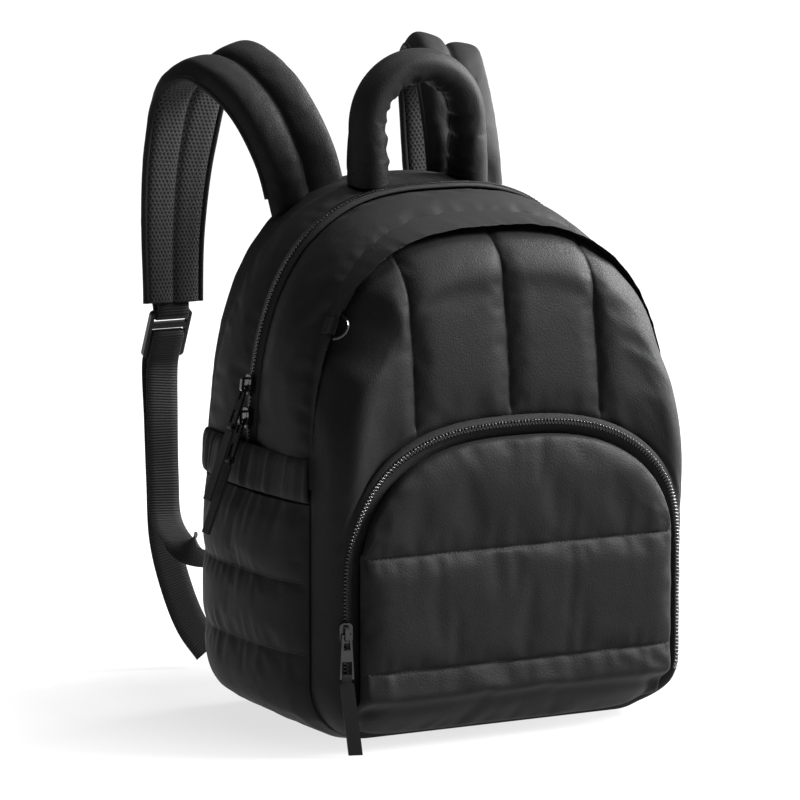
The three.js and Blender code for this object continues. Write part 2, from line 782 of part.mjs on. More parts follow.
// Elastic band at a side pocket's mouth, gathered in upright folds
function buildSideBand(side, name) {
  const bandFoot = sidePocketMouth - bandHeight;
  const columns = gatherCount * 2;
  const heights = [0, 0.12, 0.5, 0.88, 1];
  const at = (share, height, lift) => {
    const station = mix(-0.985, 0.985, share);
    const z = mix(bandFoot, sidePocketMouth, height);
    const end = station < 0 ? seams.front : seams.back;
    const width = mix(seams.zipper.halfWidthAt(z), end.halfWidthAt(z), Math.abs(station));
    const clear = gussetCrown * 1.15 * Math.sin(Math.PI * share) ** 0.5;
    const open = mix(mouthOpening, mouthGrip, height) * Math.sin(Math.PI * share) ** 0.8;
    const fold = gatherDepth * (Math.round(share * columns) % 2) * Math.sin(Math.PI * share) ** 0.3;
    const belly = 1 - (2 * height - 1) ** 2;
    const reach = width + seamGap + clear + open + fold * belly + lift;
    return new THREE.Vector3(side * reach, stationDepth(station, z), z);
  };
  const grid = (lift) => heights.map((height) => steps(columns).map((share) => at(share, height, lift)));
  addNode(name, wallBetween(grid(sidePocketWall), grid(0)), colours.nylon);
}

// Height of the bag's top behind the zipper line
function topSurfaceAt(x, y) {
  let angle = Math.PI / 2;
  let station = 0.5;
  const span = seams.back.depthAt(bagHeight) - seams.zipper.depthAt(bagHeight);
  for (let round = 0; round < 12; round++) {
    const point = upperWallPoint(angle, station);
    angle += (point.x - x) / seams.back.rise;
    station = clamp(station + (y - point.y) / span, 0, 1);
  }
  return upperWallPoint(angle, station).z;
}

function buildHandle() {
  const radius = handleDiameter / 2;
  const half = handleSpread / 2;
  const seatHeight = topSurfaceAt(half, handleSeat);
  const archHeight = seatHeight + handleHeight - radius - half;
  const legSteps = 5;
  const archSteps = 15;
  const centres = [];
  for (let i = 0; i < legSteps; i++) {
    centres.push({ x: -half, z: mix(seatHeight, archHeight, i / legSteps), turn: Math.PI });
  }
  for (let i = 0; i <= archSteps; i++) {
    const turn = Math.PI * (1 - i / archSteps);
    centres.push({ x: half * Math.cos(turn), z: archHeight + half * Math.sin(turn), turn });
  }
  for (let i = legSteps - 1; i >= 0; i--) {
    centres.push({ x: half, z: mix(seatHeight, archHeight, i / legSteps), turn: 0 });
  }
  const profile = steps(9)
    .slice(0, 9)
    .map((share) => [0.5 * Math.cos(2 * Math.PI * share), 0.5 * Math.sin(2 * Math.PI * share)]);
  const last = centres.length - 1;
  const seat = (point) => {
    point.z = topSurfaceAt(point.x, point.y) + seamGap;
    return point;
  };
  const rings = centres.map(({ x, z, turn }, i) => {
    const atEnd = i === 0 || i === last;
    const ruffle = !atEnd && i % 2 ? ruffleDepth : 0;
    const section = {
      centre: new THREE.Vector3(x, handleSeat, z),
      across: new THREE.Vector3(Math.cos(turn), 0, Math.sin(turn)),
      off: new THREE.Vector3(0, 1, 0),
      width: handleDiameter - ruffle,
      height: handleDiameter * 1.1 - ruffle,
    };
    return sectionPoints(section, profile, atEnd ? seat : undefined);
  });
  addNode('grab_handle', sweepRings(rings, seat), colours.nylon);
}

function strapAnchorHeight() {
  return bagHeight - strapAnchorDrop;
}

function strapSections(side, count) {
  const anchorHeight = strapAnchorHeight();
  const start = backDepth(strapAnchorSpread / 2, anchorHeight) + seamGap + strapThickness * 0.6;
  const points = strapTable.map(({ spread, reach, height }) => {
    const x = (side * mix(strapAnchorSpread, strapEndSpread, spread)) / 2;
    return new THREE.Vector3(x, start + strapReach * reach, anchorHeight + bagHeight * height);
  });
  const curve = new THREE.CatmullRomCurve3(points, false, 'centripetal');
  const rolls = strapTable.map(({ roll }) => roll);
  return steps(count).map((share) => {
    const centre = curve.getPointAt(share);
    const along = curve.getTangentAt(share);
    const tableShare = curve.getUtoTmapping(share) * (rolls.length - 1);
    const row = Math.min(Math.floor(tableShare), rolls.length - 2);
    const roll = THREE.MathUtils.degToRad(mix(rolls[row], rolls[row + 1], tableShare - row));
    const across = new THREE.Vector3(Math.cos(roll), 0, -side * Math.sin(roll));
    across.addScaledVector(along, -across.dot(along)).normalize();
    const off = new THREE.Vector3().crossVectors(across, along).normalize();
    const width = mix(strapWidth, strapEndWidth, ramp(share, 0.45, 1));
    return { centre, across, off, along, width, share };
  });
}

// Thickness of a strap across its width: two channels with their seam between them
const strapAcross = [
  { across: -0.5, puff: 0.35 },
  { across: -0.27, puff: 1 },
  { across: 0, puff: 0.55 },
  { across: 0.27, puff: 1 },
  { across: 0.5, puff: 0.35 },
];

function keepOffBack(point) {
  point.y = Math.max(point.y, backDepth(point.x, point.z) + seamGap);
  return point;
}

function buildStrap(side, name, meshName) {
  const sections = strapSections(side, 17).map((section) => {
    const atAnchor = mix(0.7, 1, ramp(section.share, 0, 0.12));
    const atEnd = mix(1, 0.75, ramp(section.share, 0.9, 1));
    return { ...section, height: strapThickness * atAnchor * atEnd };
  });
  const top = strapAcross.map(({ across, puff }) => [across, puff]);
  const bottom = strapAcross.map(({ across }) => [across, 0]);
  const grid = (profile) => sections.map((section) => sectionPoints(section, profile, keepOffBack));
  addNode(name, wallBetween(grid(top), grid(bottom)), colours.nylon);
  const under = sections.slice(1).map((section) => ({ ...section, height: 1 }));
  const slab = (off) => {
    const profile = strapAcross.map(({ across }) => [across * 0.92, off]);
    return under.map((section) => sectionPoints(section, profile));
  };
  addNode(meshName, wallBetween(slab(-2 * seamGap), slab(-2 * seamGap - meshThickness)), colours.spacer);
}

// Webbing through points, its face turned by an angle that may change along it
function buildWebbing(name, route, seat = keepOffBack) {
  const curve = new THREE.CatmullRomCurve3(route.map(({ at }) => at), false, 'centripetal');
  const places = [];
  for (let i = 0; i + 1 < route.length; i++) {
    const count = Math.max(1, Math.round(route[i].at.distanceTo(route[i + 1].at) / 18));
    for (let k = 0; k < count; k++) places.push(i + k / count);
  }
  places.push(route.length - 1);
  const sections = places.map((place) => {
    const row = Math.min(Math.floor(place), route.length - 2);
    const turn = THREE.MathUtils.degToRad(mix(route[row].turn, route[row + 1].turn, place - row));
    const share = place / (route.length - 1);
    const along = curve.getTangent(share);
    const level = new THREE.Vector3(1, 0, 0).addScaledVector(along, -along.x).normalize();
    const upright = new THREE.Vector3().crossVectors(level, along).normalize();
    const across = level.clone().multiplyScalar(Math.cos(turn));
    across.addScaledVector(upright, Math.sin(turn));
    const off = new THREE.Vector3().crossVectors(across, along).normalize();
    return { centre: curve.getPoint(share), across, off, width: webbingWidth, height: webbingThickness };
  });
  const face = (off) =>
    sections.map((section, i) => {
      const hold = i === sections.length - 1 ? seat : keepOffBack;
      return sectionPoints(section, [[-0.5, off], [0.5, off]], hold);
    });
  addNode(name, wallBetween(face(0.5), face(-0.5)), colours.webbing);
}

function roundedRectangle(path, width, length, radius) {
  const x = width / 2;
  const y = length / 2;
  path.moveTo(x, y - radius);
  path.absarc(x - radius, y - radius, radius, 0, Math.PI / 2);
  path.absarc(-x + radius, y - radius, radius, Math.PI / 2, Math.PI);
  path.absarc(-x + radius, -y + radius, radius, Math.PI, 1.5 * Math.PI);
  path.absarc(x - radius, -y + radius, radius, 1.5 * Math.PI, 2 * Math.PI);
  path.closePath();
  return path;
}

function rectangleHole(width, from, to) {
  const hole = new THREE.Path();
  hole.moveTo(-width / 2, from);
  hole.lineTo(width / 2, from);
  hole.lineTo(width / 2, to);
  hole.lineTo(-width / 2, to);
  hole.closePath();
  return hole;
}

function plate(shape, thickness) {
  const options = { depth: thickness, bevelEnabled: false, curveSegments: 3 };
  const geometry = new THREE.ExtrudeGeometry(shape, options);
  geometry.translate(0, 0, -thickness / 2);
  return geometry;
}

// Ladder lock in its own frame: X across, Y up its length, Z off its outer face
function lockGeometry() {
  const shape = roundedRectangle(new THREE.Shape(), lockWidth, lockLength, 3);
  const top = lockLength / 2 - lockBar;
  const slotWidth = webbingWidth + 2;
  shape.holes.push(rectangleHole(slotWidth, top - lockSlot, top));
  shape.holes.push(rectangleHole(slotWidth, top - 2 * lockSlot - lockBar, top - lockSlot - lockBar));
  return plate(shape, lockThickness);
}

function buildHarness(side, suffix) {
  const end = strapSections(side, 1).at(-1);
  const down = new THREE.Vector3(0, 0.43, -0.9).normalize();
  const across = new THREE.Vector3(1, 0, 0);
  const off = new THREE.Vector3().crossVectors(across, down).normalize();
  const centre = end.centre.clone().add(new THREE.Vector3(0, lockDrop * 0.42, -lockDrop));
  const lock = addNode(`ladder_lock_${suffix}`, lockGeometry(), colours.plastic);
  const frame = new THREE.Matrix4().makeBasis(across, down.clone().negate(), off.clone().negate());
  lock.quaternion.setFromRotationMatrix(frame);
  lock.position.copy(centre);

  const onLock = (length, height) => centre.clone().addScaledVector(down, length).addScaledVector(off, height);
  const bend = (middle, radius, from, to) =>
    steps(4).map((share) => {
      const angle = THREE.MathUtils.degToRad(mix(from, to, share));
      return { at: onLock(middle + radius * Math.cos(angle), radius * Math.sin(angle)), turn: 0 };
    });
  const skin = webbingThickness / 2 + runningGap;
  const topBar = (lockBar - lockLength) / 2;
  const barRadius = Math.hypot(lockBar, lockThickness) / 2 + skin;
  const strapEnd = end.centre.clone().addScaledVector(end.along, 1.5 * seamGap);
  const upper = strapEnd.clone().addScaledVector(end.off, strapThickness * 0.6);
  const lower = strapEnd.clone().addScaledVector(end.off, -webbingThickness);
  const loop = [{ at: upper, turn: 0 }, ...bend(topBar, barRadius, 90, -90), { at: lower, turn: 0 }];
  buildWebbing(`strap_webbing_${suffix}`, loop);

  const lipEdge = topBar + lockBar / 2 + 2 * lockSlot + lockBar;
  const lipRadius = Math.hypot(0.6, lockThickness / 2) + skin;
  const lip = lockLength / 2;
  const spot = (x, y, z) => new THREE.Vector3(side * x, y, z);
  const anchor = spot(120, backDepth(120, 103) + seamGap, 103);
  const route = [
    { at: spot(80, 196, 13), turn: 0 },
    { at: spot(93, 198, 32), turn: 0 },
    { at: spot(104, 200, 60), turn: 0 },
    { at: spot(112, 203.5, 97), turn: 0 },
    { at: spot(113, 206, 140), turn: 0 },
    { at: spot(113, 209, 185), turn: 0 },
    { at: onLock(lip + 6, lipRadius + 1), turn: 0 },
    { at: onLock(lip - 6, lipRadius), turn: 0 },
    ...bend(lipEdge + 0.6, lipRadius, 90, 270),
    { at: onLock(lip - 6, -lipRadius), turn: 0 },
    { at: onLock(lip + 6, -lipRadius - 1), turn: 0 },
    { at: spot(114, 202, 185), turn: 0 },
    { at: spot(115, 199, 145), turn: 0 },
    { at: spot(117, 191, 115), turn: 0 },
    { at: spot(118, 168, 102), turn: 0 },
    { at: spot(118.5, 143, 100), turn: side * 85 },
    { at: spot(119, 115, 100), turn: side * 150 },
    { at: anchor, turn: side * 155 },
  ];
  buildWebbing(`adjuster_webbing_${suffix}`, route, (point) => {
    point.y = backDepth(point.x, point.z) + 1.6 * seamGap;
    return point;
  });
}

function placed(mesh, origin, xAxis, yAxis, zAxis) {
  mesh.quaternion.setFromRotationMatrix(new THREE.Matrix4().makeBasis(xAxis, yAxis, zAxis));
  mesh.position.copy(origin);
}

// Ring on the front seam: X along its bar, Y towards its apex, Z off the cloth
function buildRing() {
  const z = ringHeight;
  const seam = seams.front;
  const root = new THREE.Vector3(-seam.halfWidthAt(z), seam.depthAt(z), z);
  const above = new THREE.Vector3(-seam.halfWidthAt(z + 4), seam.depthAt(z + 4), z + 4);
  const along = above.sub(root).normalize();
  const intoFace = new THREE.Vector3(along.z, 0, -along.x);
  const slope = THREE.MathUtils.degToRad(60);
  const reach = intoFace.multiplyScalar(Math.cos(slope)).add(new THREE.Vector3(0, -Math.sin(slope), 0));
  reach.addScaledVector(along, -reach.dot(along)).normalize();
  const off = new THREE.Vector3().crossVectors(along, reach).normalize();
  if (off.x > 0) off.negate();
  const bar = new THREE.Vector3().crossVectors(reach, off).normalize();

  const radius = ringWire / 2;
  const eye = radius + seamGap;
  const wall = 1.2;
  const rise = eye + wall + 0.6;
  const barCentre = root.clone().addScaledVector(off, rise).addScaledVector(reach, ringTabLength);

  const outline = [];
  const half = ringBar / 2 - radius;
  const bow = steps(10).map((share) => Math.PI * share);
  bow.forEach((angle) => outline.push([half * Math.cos(angle), (ringReach - 2 * radius) * Math.sin(angle)]));
  const corners = outline.length;
  const rings = outline.map(([x, y], i) => {
    const [x0, y0] = outline[(i + corners - 1) % corners];
    const [x1, y1] = outline[(i + 1) % corners];
    const tangent = new THREE.Vector3(x1 - x0, y1 - y0, 0).normalize();
    const side = new THREE.Vector3(tangent.y, -tangent.x, 0);
    return steps(6)
      .slice(0, 6)
      .map((share) => {
        const turn = 2 * Math.PI * share;
        const point = new THREE.Vector3(x, y, radius * Math.sin(turn));
        return point.addScaledVector(side, radius * Math.cos(turn));
      });
  });
  const points = rings.flat();
  const triangles = [];
  for (let i = 0; i < corners; i++) {
    const next = (i + 1) % corners;
    for (let j = 0; j < 6; j++) {
      const k = (j + 1) % 6;
      triangles.push([i * 6 + j, i * 6 + k, next * 6 + k], [i * 6 + j, next * 6 + k, next * 6 + j]);
    }
  }
  const ring = addNode('d_ring', geometryFrom(points, triangles), colours.metal);
  placed(ring, barCentre, bar, reach, off);

  const sleeve = new THREE.CylinderGeometry(eye + wall, eye + wall, ringTabWidth, 12);
  sleeve.rotateZ(Math.PI / 2);
  const strip = new THREE.BoxGeometry(ringTabWidth, ringTabLength - 0.6, ringTabThickness);
  strip.translate(0, -(ringTabLength - 0.6) / 2, 0);
  const bore = new THREE.CylinderGeometry(eye + 0.35, eye + 0.35, ringTabWidth + 2, 12);
  bore.rotateZ(Math.PI / 2);
  const tabSolid = toSolid(sleeve).add(toSolid(strip)).subtract(toSolid(bore));
  const tab = addNode('d_ring_tab', toGeometry(tabSolid), colours.webbing);
  placed(tab, barCentre, bar, reach, off);
}

// Slider with its bail, in its own frame: X across, Y up the coil, Z off it
function sliderGeometry() {
  const body = plate(roundedRectangle(new THREE.Shape(), sliderWidth, sliderLength, 3), sliderBody);
  body.translate(0, 0, sliderBody / 2);
  const arch = new THREE.Shape();
  const half = sliderLength * 0.36;
  arch.moveTo(-half, -0.5);
  arch.lineTo(half, -0.5);
  arch.lineTo(half, bailHeight - 1.4);
  arch.lineTo(half - 1.4, bailHeight);
  arch.lineTo(1.4 - half, bailHeight);
  arch.lineTo(-half, bailHeight - 1.4);
  arch.closePath();
  const window = rectangleHole(2 * half - 2.8, 0.2, bailHeight - 1.6);
  arch.holes.push(window);
  const bail = plate(arch, bailWidth);
  bail.rotateY(Math.PI / 2);
  bail.rotateX(Math.PI / 2);
  bail.applyMatrix4(new THREE.Matrix4().makeTranslation(0, 0, sliderBody));
  return toGeometry(toSolid(body).add(toSolid(bail)));
}

// Pull in its own frame: the origin on its hinge axis, X along that axis, hanging along -Y
function pullGeometry() {
  const shape = new THREE.Shape();
  const top = pullWidth * 0.34;
  const wide = pullWidth / 2;
  const bar = 1.6;
  shape.moveTo(-top, bar / 2);
  shape.lineTo(-wide, -pullLength + bar / 2);
  shape.lineTo(wide, -pullLength + bar / 2);
  shape.lineTo(top, bar / 2);
  shape.closePath();
  const eye = new THREE.Path();
  eye.moveTo(-bailWidth / 2 - 0.6, -bar / 2);
  eye.lineTo(bailWidth / 2 + 0.6, -bar / 2);
  eye.lineTo(bailWidth / 2 + 0.9, -pullLength * 0.32);
  eye.lineTo(-bailWidth / 2 - 0.9, -pullLength * 0.32);
  eye.closePath();
  shape.holes.push(eye);
  shape.holes.push(rectangleHole(pullWidth - 3, -pullLength * 0.58, -pullLength + 1.5 * bar));
  return plate(shape, pullThickness);
}

// Fabric tab folded round the pull's lower bar, leaning to one side as it hangs
function pullTabGeometry(lean) {
  const bar = 1.6;
  const barHeight = -pullLength + bar;
  const eye = bar * 0.75 + 0.4;
  const wall = 0.9;
  const loopWidth = pullWidth - 3.8;
  const wide = pullTabWidth / 2;
  const narrow = loopWidth / 2;
  const shape = new THREE.Shape();
  shape.moveTo(-narrow, barHeight);
  shape.lineTo(-narrow, barHeight - eye - wall - 0.8);
  shape.lineTo(-wide, barHeight - eye - wall - 1.8);
  shape.lineTo(-wide + lean, barHeight - pullTabLength);
  shape.lineTo(wide + lean, barHeight - pullTabLength);
  shape.lineTo(wide, barHeight - eye - wall - 1.8);
  shape.lineTo(narrow, barHeight - eye - wall - 0.8);
  shape.lineTo(narrow, barHeight);
  shape.closePath();
  const strip = plate(shape, pullTabThickness);
  const sleeve = new THREE.CylinderGeometry(eye + wall, eye + wall, loopWidth, 12);
  sleeve.rotateZ(Math.PI / 2);
  sleeve.translate(0, barHeight, 0);
  const bore = new THREE.CylinderGeometry(eye, eye, loopWidth + 2, 12);
  bore.rotateZ(Math.PI / 2);
  bore.translate(0, barHeight, 0);
  return toGeometry(toSolid(strip).add(toSolid(sleeve)).subtract(toSolid(bore)));
}

function buildPull(name, seat, up, off, swing, lean) {
  const across = new THREE.Vector3().crossVectors(up, off).normalize();
  const slider = addNode(`${name}_slider`, sliderGeometry(), colours.metal);
  placed(slider, seat, across, up, off);
  const hinge = seat.clone().addScaledVector(off, sliderBody + bailHeight / 2 - 0.7);
  hinge.addScaledVector(up, -sliderLength * 0.1);
  const turn = new THREE.Quaternion().setFromAxisAngle(across, THREE.MathUtils.degToRad(-swing));
  const hang = up.clone().applyQuaternion(turn);
  const face = off.clone().applyQuaternion(turn);
  const pull = addNode(`${name}_pull`, pullGeometry(), colours.metal);
  placed(pull, hinge, across, hang, face);
  const tab = addNode(`${name}_pull_tab`, pullTabGeometry(lean), colours.nylon);
  placed(tab, hinge, across, hang, face);
}

function buildPulls() {
  const upright = new THREE.Vector3(0, 0, 1);
  const proud = tapeThickness + coilHeight + runningGap;
  const x = -pocketHalfWidth;
  const front = new THREE.Vector3(-0.3, -0.954, 0).normalize();
  const pocketSeat = new THREE.Vector3(x, tapeBackDepth(x, sliderHeights.pocket), sliderHeights.pocket);
  buildPull('pocket', pocketSeat.addScaledVector(front, proud - 2 * runningGap), upright, front, 0, pocketTabLean);
  const sideways = new THREE.Vector3(-1, 0, 0);
  for (const name of ['upper', 'lower']) {
    const z = sliderHeights[name];
    const ahead = archLineAt(z + 6);
    const behind = archLineAt(z - 6);
    const up = ahead.sub(behind).normalize();
    const off = sideways.clone().addScaledVector(up, -sideways.dot(up)).normalize();
    const seat = archLineAt(z).addScaledVector(off, proud - tapeThickness);
    buildPull(name, seat, up, off, pullLeans[name], 0);
  }
}

function archLineAt(z) {
  return new THREE.Vector3(-seams.zipper.halfWidthAt(z), seams.zipper.depthAt(z), z);
}

const archAngles = buildGussets();
buildMainZipper(archAngles);
buildBase();
buildFrontPanel();
buildBackPanel();
buildPocketPanel(buildPocketZipper());
for (const [side, suffix] of [[-1, 'left'], [1, 'right']]) {
  buildSidePocket(side, `side_pocket_${suffix}`);
  buildSideBand(side, `side_band_${suffix}`);
  buildStrap(side, `shoulder_strap_${suffix}`, `strap_mesh_${suffix}`);
  buildHarness(side, suffix);
}
buildHandle();
buildRing();
buildPulls();

bag.updateMatrixWorld(true);
const extent = new THREE.Box3().setFromObject(bag, true);
bag.position.set(-(extent.min.x + extent.max.x) / 2, -(extent.min.y + extent.max.y) / 2, 0);

export default bag;
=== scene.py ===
# %% [markdown]
# # A quilted puffer backpack
# The solids of the bag are loaded as a fixed frame: they say where each piece is and how it
# moves. This notebook dresses them with filled nylon, zippers, webbing, plastic and metal. The
# camera comes first, because every later step is judged through it.

# %% Load the frame
import math
import bpy
import numpy as np
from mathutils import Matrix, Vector


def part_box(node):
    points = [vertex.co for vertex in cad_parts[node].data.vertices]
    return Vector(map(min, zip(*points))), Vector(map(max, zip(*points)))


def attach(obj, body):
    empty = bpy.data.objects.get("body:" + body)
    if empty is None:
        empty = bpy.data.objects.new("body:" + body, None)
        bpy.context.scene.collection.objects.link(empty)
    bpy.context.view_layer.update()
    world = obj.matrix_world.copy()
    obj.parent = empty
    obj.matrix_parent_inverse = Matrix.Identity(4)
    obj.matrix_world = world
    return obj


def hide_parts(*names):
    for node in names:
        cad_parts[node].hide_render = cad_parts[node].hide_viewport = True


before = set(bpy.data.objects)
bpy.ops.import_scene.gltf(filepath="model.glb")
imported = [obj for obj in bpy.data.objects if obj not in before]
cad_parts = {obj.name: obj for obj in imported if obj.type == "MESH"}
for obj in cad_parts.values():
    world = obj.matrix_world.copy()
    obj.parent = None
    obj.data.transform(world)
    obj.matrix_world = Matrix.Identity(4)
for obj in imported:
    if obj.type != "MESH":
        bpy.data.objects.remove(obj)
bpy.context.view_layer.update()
low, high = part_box("base_panel")
SEAM_LIFT = 0.0004
FRONT_SEAM_Y = -0.08802
ORIGIN = np.array([(low[0] + high[0]) / 2, low[1] - FRONT_SEAM_Y - SEAM_LIFT, 0.0]) * 1000
print("bag's own zero in the frame, mm:", ORIGIN.round(2))

# %% [markdown]
# The bag is seen from its front left, a little from above, with a long lens that keeps upright
# lines upright. A camera four metres away does the same.

# %% Camera
VIEW_TURN, VIEW_RISE, VIEW_DISTANCE = math.radians(28.5), math.radians(9.0), 4.0
VIEW_WIDTH = 0.5712
VIEW_CENTRE = Vector((0.0013, -0.0025, 0.2151))
level = math.cos(VIEW_RISE)
forward = Vector((math.sin(VIEW_TURN) * level, math.cos(VIEW_TURN) * level, -math.sin(VIEW_RISE)))
camera_data = bpy.data.cameras.new("camera")
camera_data.sensor_width = 36
camera_data.lens = 36 * VIEW_DISTANCE / VIEW_WIDTH
camera_data.clip_end = 100
camera = bpy.data.objects.new("camera", camera_data)
camera.location = VIEW_CENTRE - forward * VIEW_DISTANCE
camera.rotation_euler = forward.to_track_quat("-Z", "Y").to_euler()
bpy.context.scene.collection.objects.link(camera)
bpy.context.scene.camera = camera
print("camera at", [round(v, 3) for v in camera.location])

# %% [markdown]
# The bag's shape follows a few seam lines: the front seam, the zipper line and the back seam.
# Each is a flat-topped arch on straight sides that leans back with its height. All sizes are in
# millimetres, and every cloth panel below is a grid of points between two of these lines.

# %% Seam lines of the bag
WIDTH, HEIGHT, DEPTH, SPRING = 284.0, 377.0, 163.0, 180.0
HALF = WIDTH / 2
FRONT_Y = -0.54 * DEPTH
LEAN = 1.35
GAP = 0.4
SEAMS = {
    "back": {"half": 0.986, "top": 1.0, "round": 2.55, "low": 1.0, "high": 0.804},
    "zipper": {"half": 0.994, "top": 0.988, "round": 2.75, "low": 0.57, "high": 0.54},
    "front": {"half": 1.0, "top": 0.94, "round": 2.65, "low": 0.0, "high": 0.16},
}


def mix(a, b, share):
    return a + (b - a) * share


def clamp(value, low_end, high_end):
    return np.minimum(np.maximum(value, low_end), high_end)


def ramp(value, start, end):
    share = clamp((value - start) / (end - start), 0, 1)
    return share * share * (3 - 2 * share)


def seam_depth(seam, z):
    row = SEAMS[seam]
    share = clamp((z - SPRING) / (row["top"] * HEIGHT - SPRING), 0, 1) ** LEAN
    return FRONT_Y + DEPTH * mix(row["low"], row["high"], share)


def seam_top(seam, x):
    row = SEAMS[seam]
    share = clamp(np.abs(x) / (row["half"] * HALF), 0, 1)
    rise = row["top"] * HEIGHT - SPRING
    return SPRING + rise * (1 - share ** row["round"]) ** (1 / row["round"])


def arch_point(seam, angle):
    row = SEAMS[seam]
    across = np.abs(np.cos(angle)) / (row["half"] * HALF)
    up = np.abs(np.sin(angle)) / (row["top"] * HEIGHT - SPRING)
    radius = (across ** row["round"] + up ** row["round"]) ** (-1 / row["round"])
    z = SPRING + radius * np.sin(angle)
    return np.stack([radius * np.cos(angle), seam_depth(seam, z), z], -1)


def wall_point(angle, station, crown=4.0):
    middle = arch_point("zipper", angle)
    end = np.where((station < 0)[..., None], arch_point("front", angle), arch_point("back", angle))
    share = np.abs(station)[..., None]
    swell = crown * np.sin(np.pi * share)
    outward = np.stack([np.cos(angle), 0 * angle, np.sin(angle)], -1)
    return mix(middle, end, share) + swell * outward


print("front seam's half width and top, mm:", HALF, seam_top("front", 0.0).round(1))

# %% [markdown]
# Below the springs of the arches the sides run down to rounded corners and a flat bottom.

# %% Lower walls and bottom
BASE = np.array([
    [-1.0, 0.008, 0.148, 0.0], [-0.8, 0.0, 0.148, 0.009], [-0.4, 0.0, 0.15, 0.013], [0.0, 0.0, 0.155, 0.01],
    [0.35, 0.0, 0.16, 0.013], [0.7, 0.0, 0.165, 0.01], [1.0, 0.027, 0.17, 0.0],
])
CORNER_TOP, CORNER_END = 0.6, 0.25


def base_section(station):
    lift, corner, crown = (np.interp(station, BASE[:, 0], BASE[:, k]) for k in (1, 2, 3))
    return lift * HEIGHT, corner * WIDTH, crown * WIDTH


def station_mix(station, values):
    return mix(values["zipper"], np.where(station < 0, values["front"], values["back"]), np.abs(station))


def lower_wall(station, turn, side):
    lift, corner, crown = base_section(station)
    width = station_mix(station, {name: row["half"] * HALF for name, row in SEAMS.items()}) + crown
    angle = clamp((CORNER_TOP - turn) / (CORNER_TOP - CORNER_END), 0, 1) * np.pi / 2
    x = width - corner + corner * np.cos(angle)
    z = lift + corner - corner * np.sin(angle)
    x = np.where(turn < CORNER_END, (width - corner) * turn / CORNER_END, x)
    z = np.where(turn > CORNER_TOP, mix(lift + corner, SPRING, (turn - CORNER_TOP) / (1 - CORNER_TOP)), z)
    y = station_mix(station, {name: seam_depth(name, z) for name in SEAMS})
    outward = np.stack([side * np.cos(angle), 0 * angle, -np.sin(angle)], -1)
    return np.stack([side * x, y, z], -1), outward


def bottom_at(station, x):
    lift, corner, _ = base_section(station)
    width = SEAMS["front" if station < 0 else "back"]["half"] * HALF
    over = clamp(np.abs(x) - (width - corner), 0, corner)
    return lift + corner - np.sqrt(corner * corner - over * over)


def inset_of(seam, x, z):
    """How far a point of the front or back face lies inside its seam line."""
    row = SEAMS[seam]
    lift, corner, _ = base_section(-1.0 if seam == "front" else 1.0)
    full, rise, k = row["half"] * HALF, row["top"] * HEIGHT - SPRING, row["round"]
    wide, up = np.abs(x), np.maximum(z - SPRING, 0)
    measure = np.maximum(((wide / full) ** k + (up / rise) ** k) ** (1 / k), 1e-6)
    above = np.hypot(wide, up) / measure * (1 - measure)
    below = np.minimum(full - wide, z - lift)
    in_corner = (wide > full - corner) & (z < lift + corner)
    round_off = corner - np.hypot(wide - (full - corner), lift + corner - z)
    return np.maximum(np.where(z > SPRING, above, np.where(in_corner, round_off, below)), 0)


def puff_share(inset, reach, fullness):
    share = 1 - clamp(inset / reach, 0, 1)
    return (1 - share * share) ** fullness


print("flat width of the bottom, mm:", round(2 * (HALF - base_section(-1.0)[1]), 1))

# %% [markdown]
# Three small shapes make a surface look quilted: a channel's quick rise from its seam, a line that
# wanders at random, and the short folds that a seam draws into the cloth beside it. They are
# added to the grids below, so each seam and fold is in the mesh and not painted on.

# %% Domes and puckers
KNOTS = 400


def dome(distance, width):
    """Rise of a filled channel from its seam, 0 to 1."""
    share = 1 - clamp(distance / width, 0, 1)
    return np.sqrt(1 - share * share)


def wander(at, step, seed):
    """A smooth random line with knots `step` apart, from -1 to 1."""
    knots = np.random.default_rng(seed).uniform(-1, 1, KNOTS)
    spot = at / step
    knot = np.floor(spot).astype(int)
    return mix(knots[knot % KNOTS], knots[(knot + 1) % KNOTS], ramp(spot - knot, 0, 1))


def pucker(distance, along, seed, reach=9.0, depth=0.9, step=5.0):
    """Short folds that run away from a seam and die out."""
    fade = np.exp(-distance / reach) * (1 - np.exp(-distance / 1.6))
    return depth * fade * (wander(along, step, seed) + 0.5 * wander(along, step * 1.9, seed + 1))


def eased(count, end=False, ease=0.6):
    """Shares from 0 to 1 that lie closer together at both ends."""
    share = np.linspace(0, 1, count, endpoint=end)
    return mix(share, 0.5 - 0.5 * np.cos(np.pi * share), ease)


print("a channel 24 mm wide rises to", dome(np.array([1.0, 4.0, 12.0]), 24.0).round(2), "at 1, 4 and 12 mm")

# %% [markdown]
# A filled panel starts as a grid of points that already has its seams, domes and short folds. It
# could be sculpted, but a rule keeps every seam where it is sewn. Blender's cloth then pins the
# grid along its seams, lets it grow a little and presses it outwards, for all panels at once, so
# that no two channels are alike. Each result gets a back, which closes it, and one subdivision,
# which smooths it.

# %% A sheet of points, its own UV map and its back
LINEN = {}


def soft_noise(shape, size, seed):
    """Even noise with bumps about `size` points wide, from -1 to 1."""
    rng = np.random.default_rng(seed)
    spectrum = np.fft.fft2(rng.standard_normal(shape))
    fy, fx = np.meshgrid(np.fft.fftfreq(shape[0]), np.fft.fftfreq(shape[1]), indexing="ij")
    size_y, size_x = size if isinstance(size, tuple) else (size, size)
    wave = np.real(np.fft.ifft2(spectrum * np.exp(-((fx * size_x) ** 2 + (fy * size_y) ** 2) * 4)))
    return wave / np.abs(wave).max()


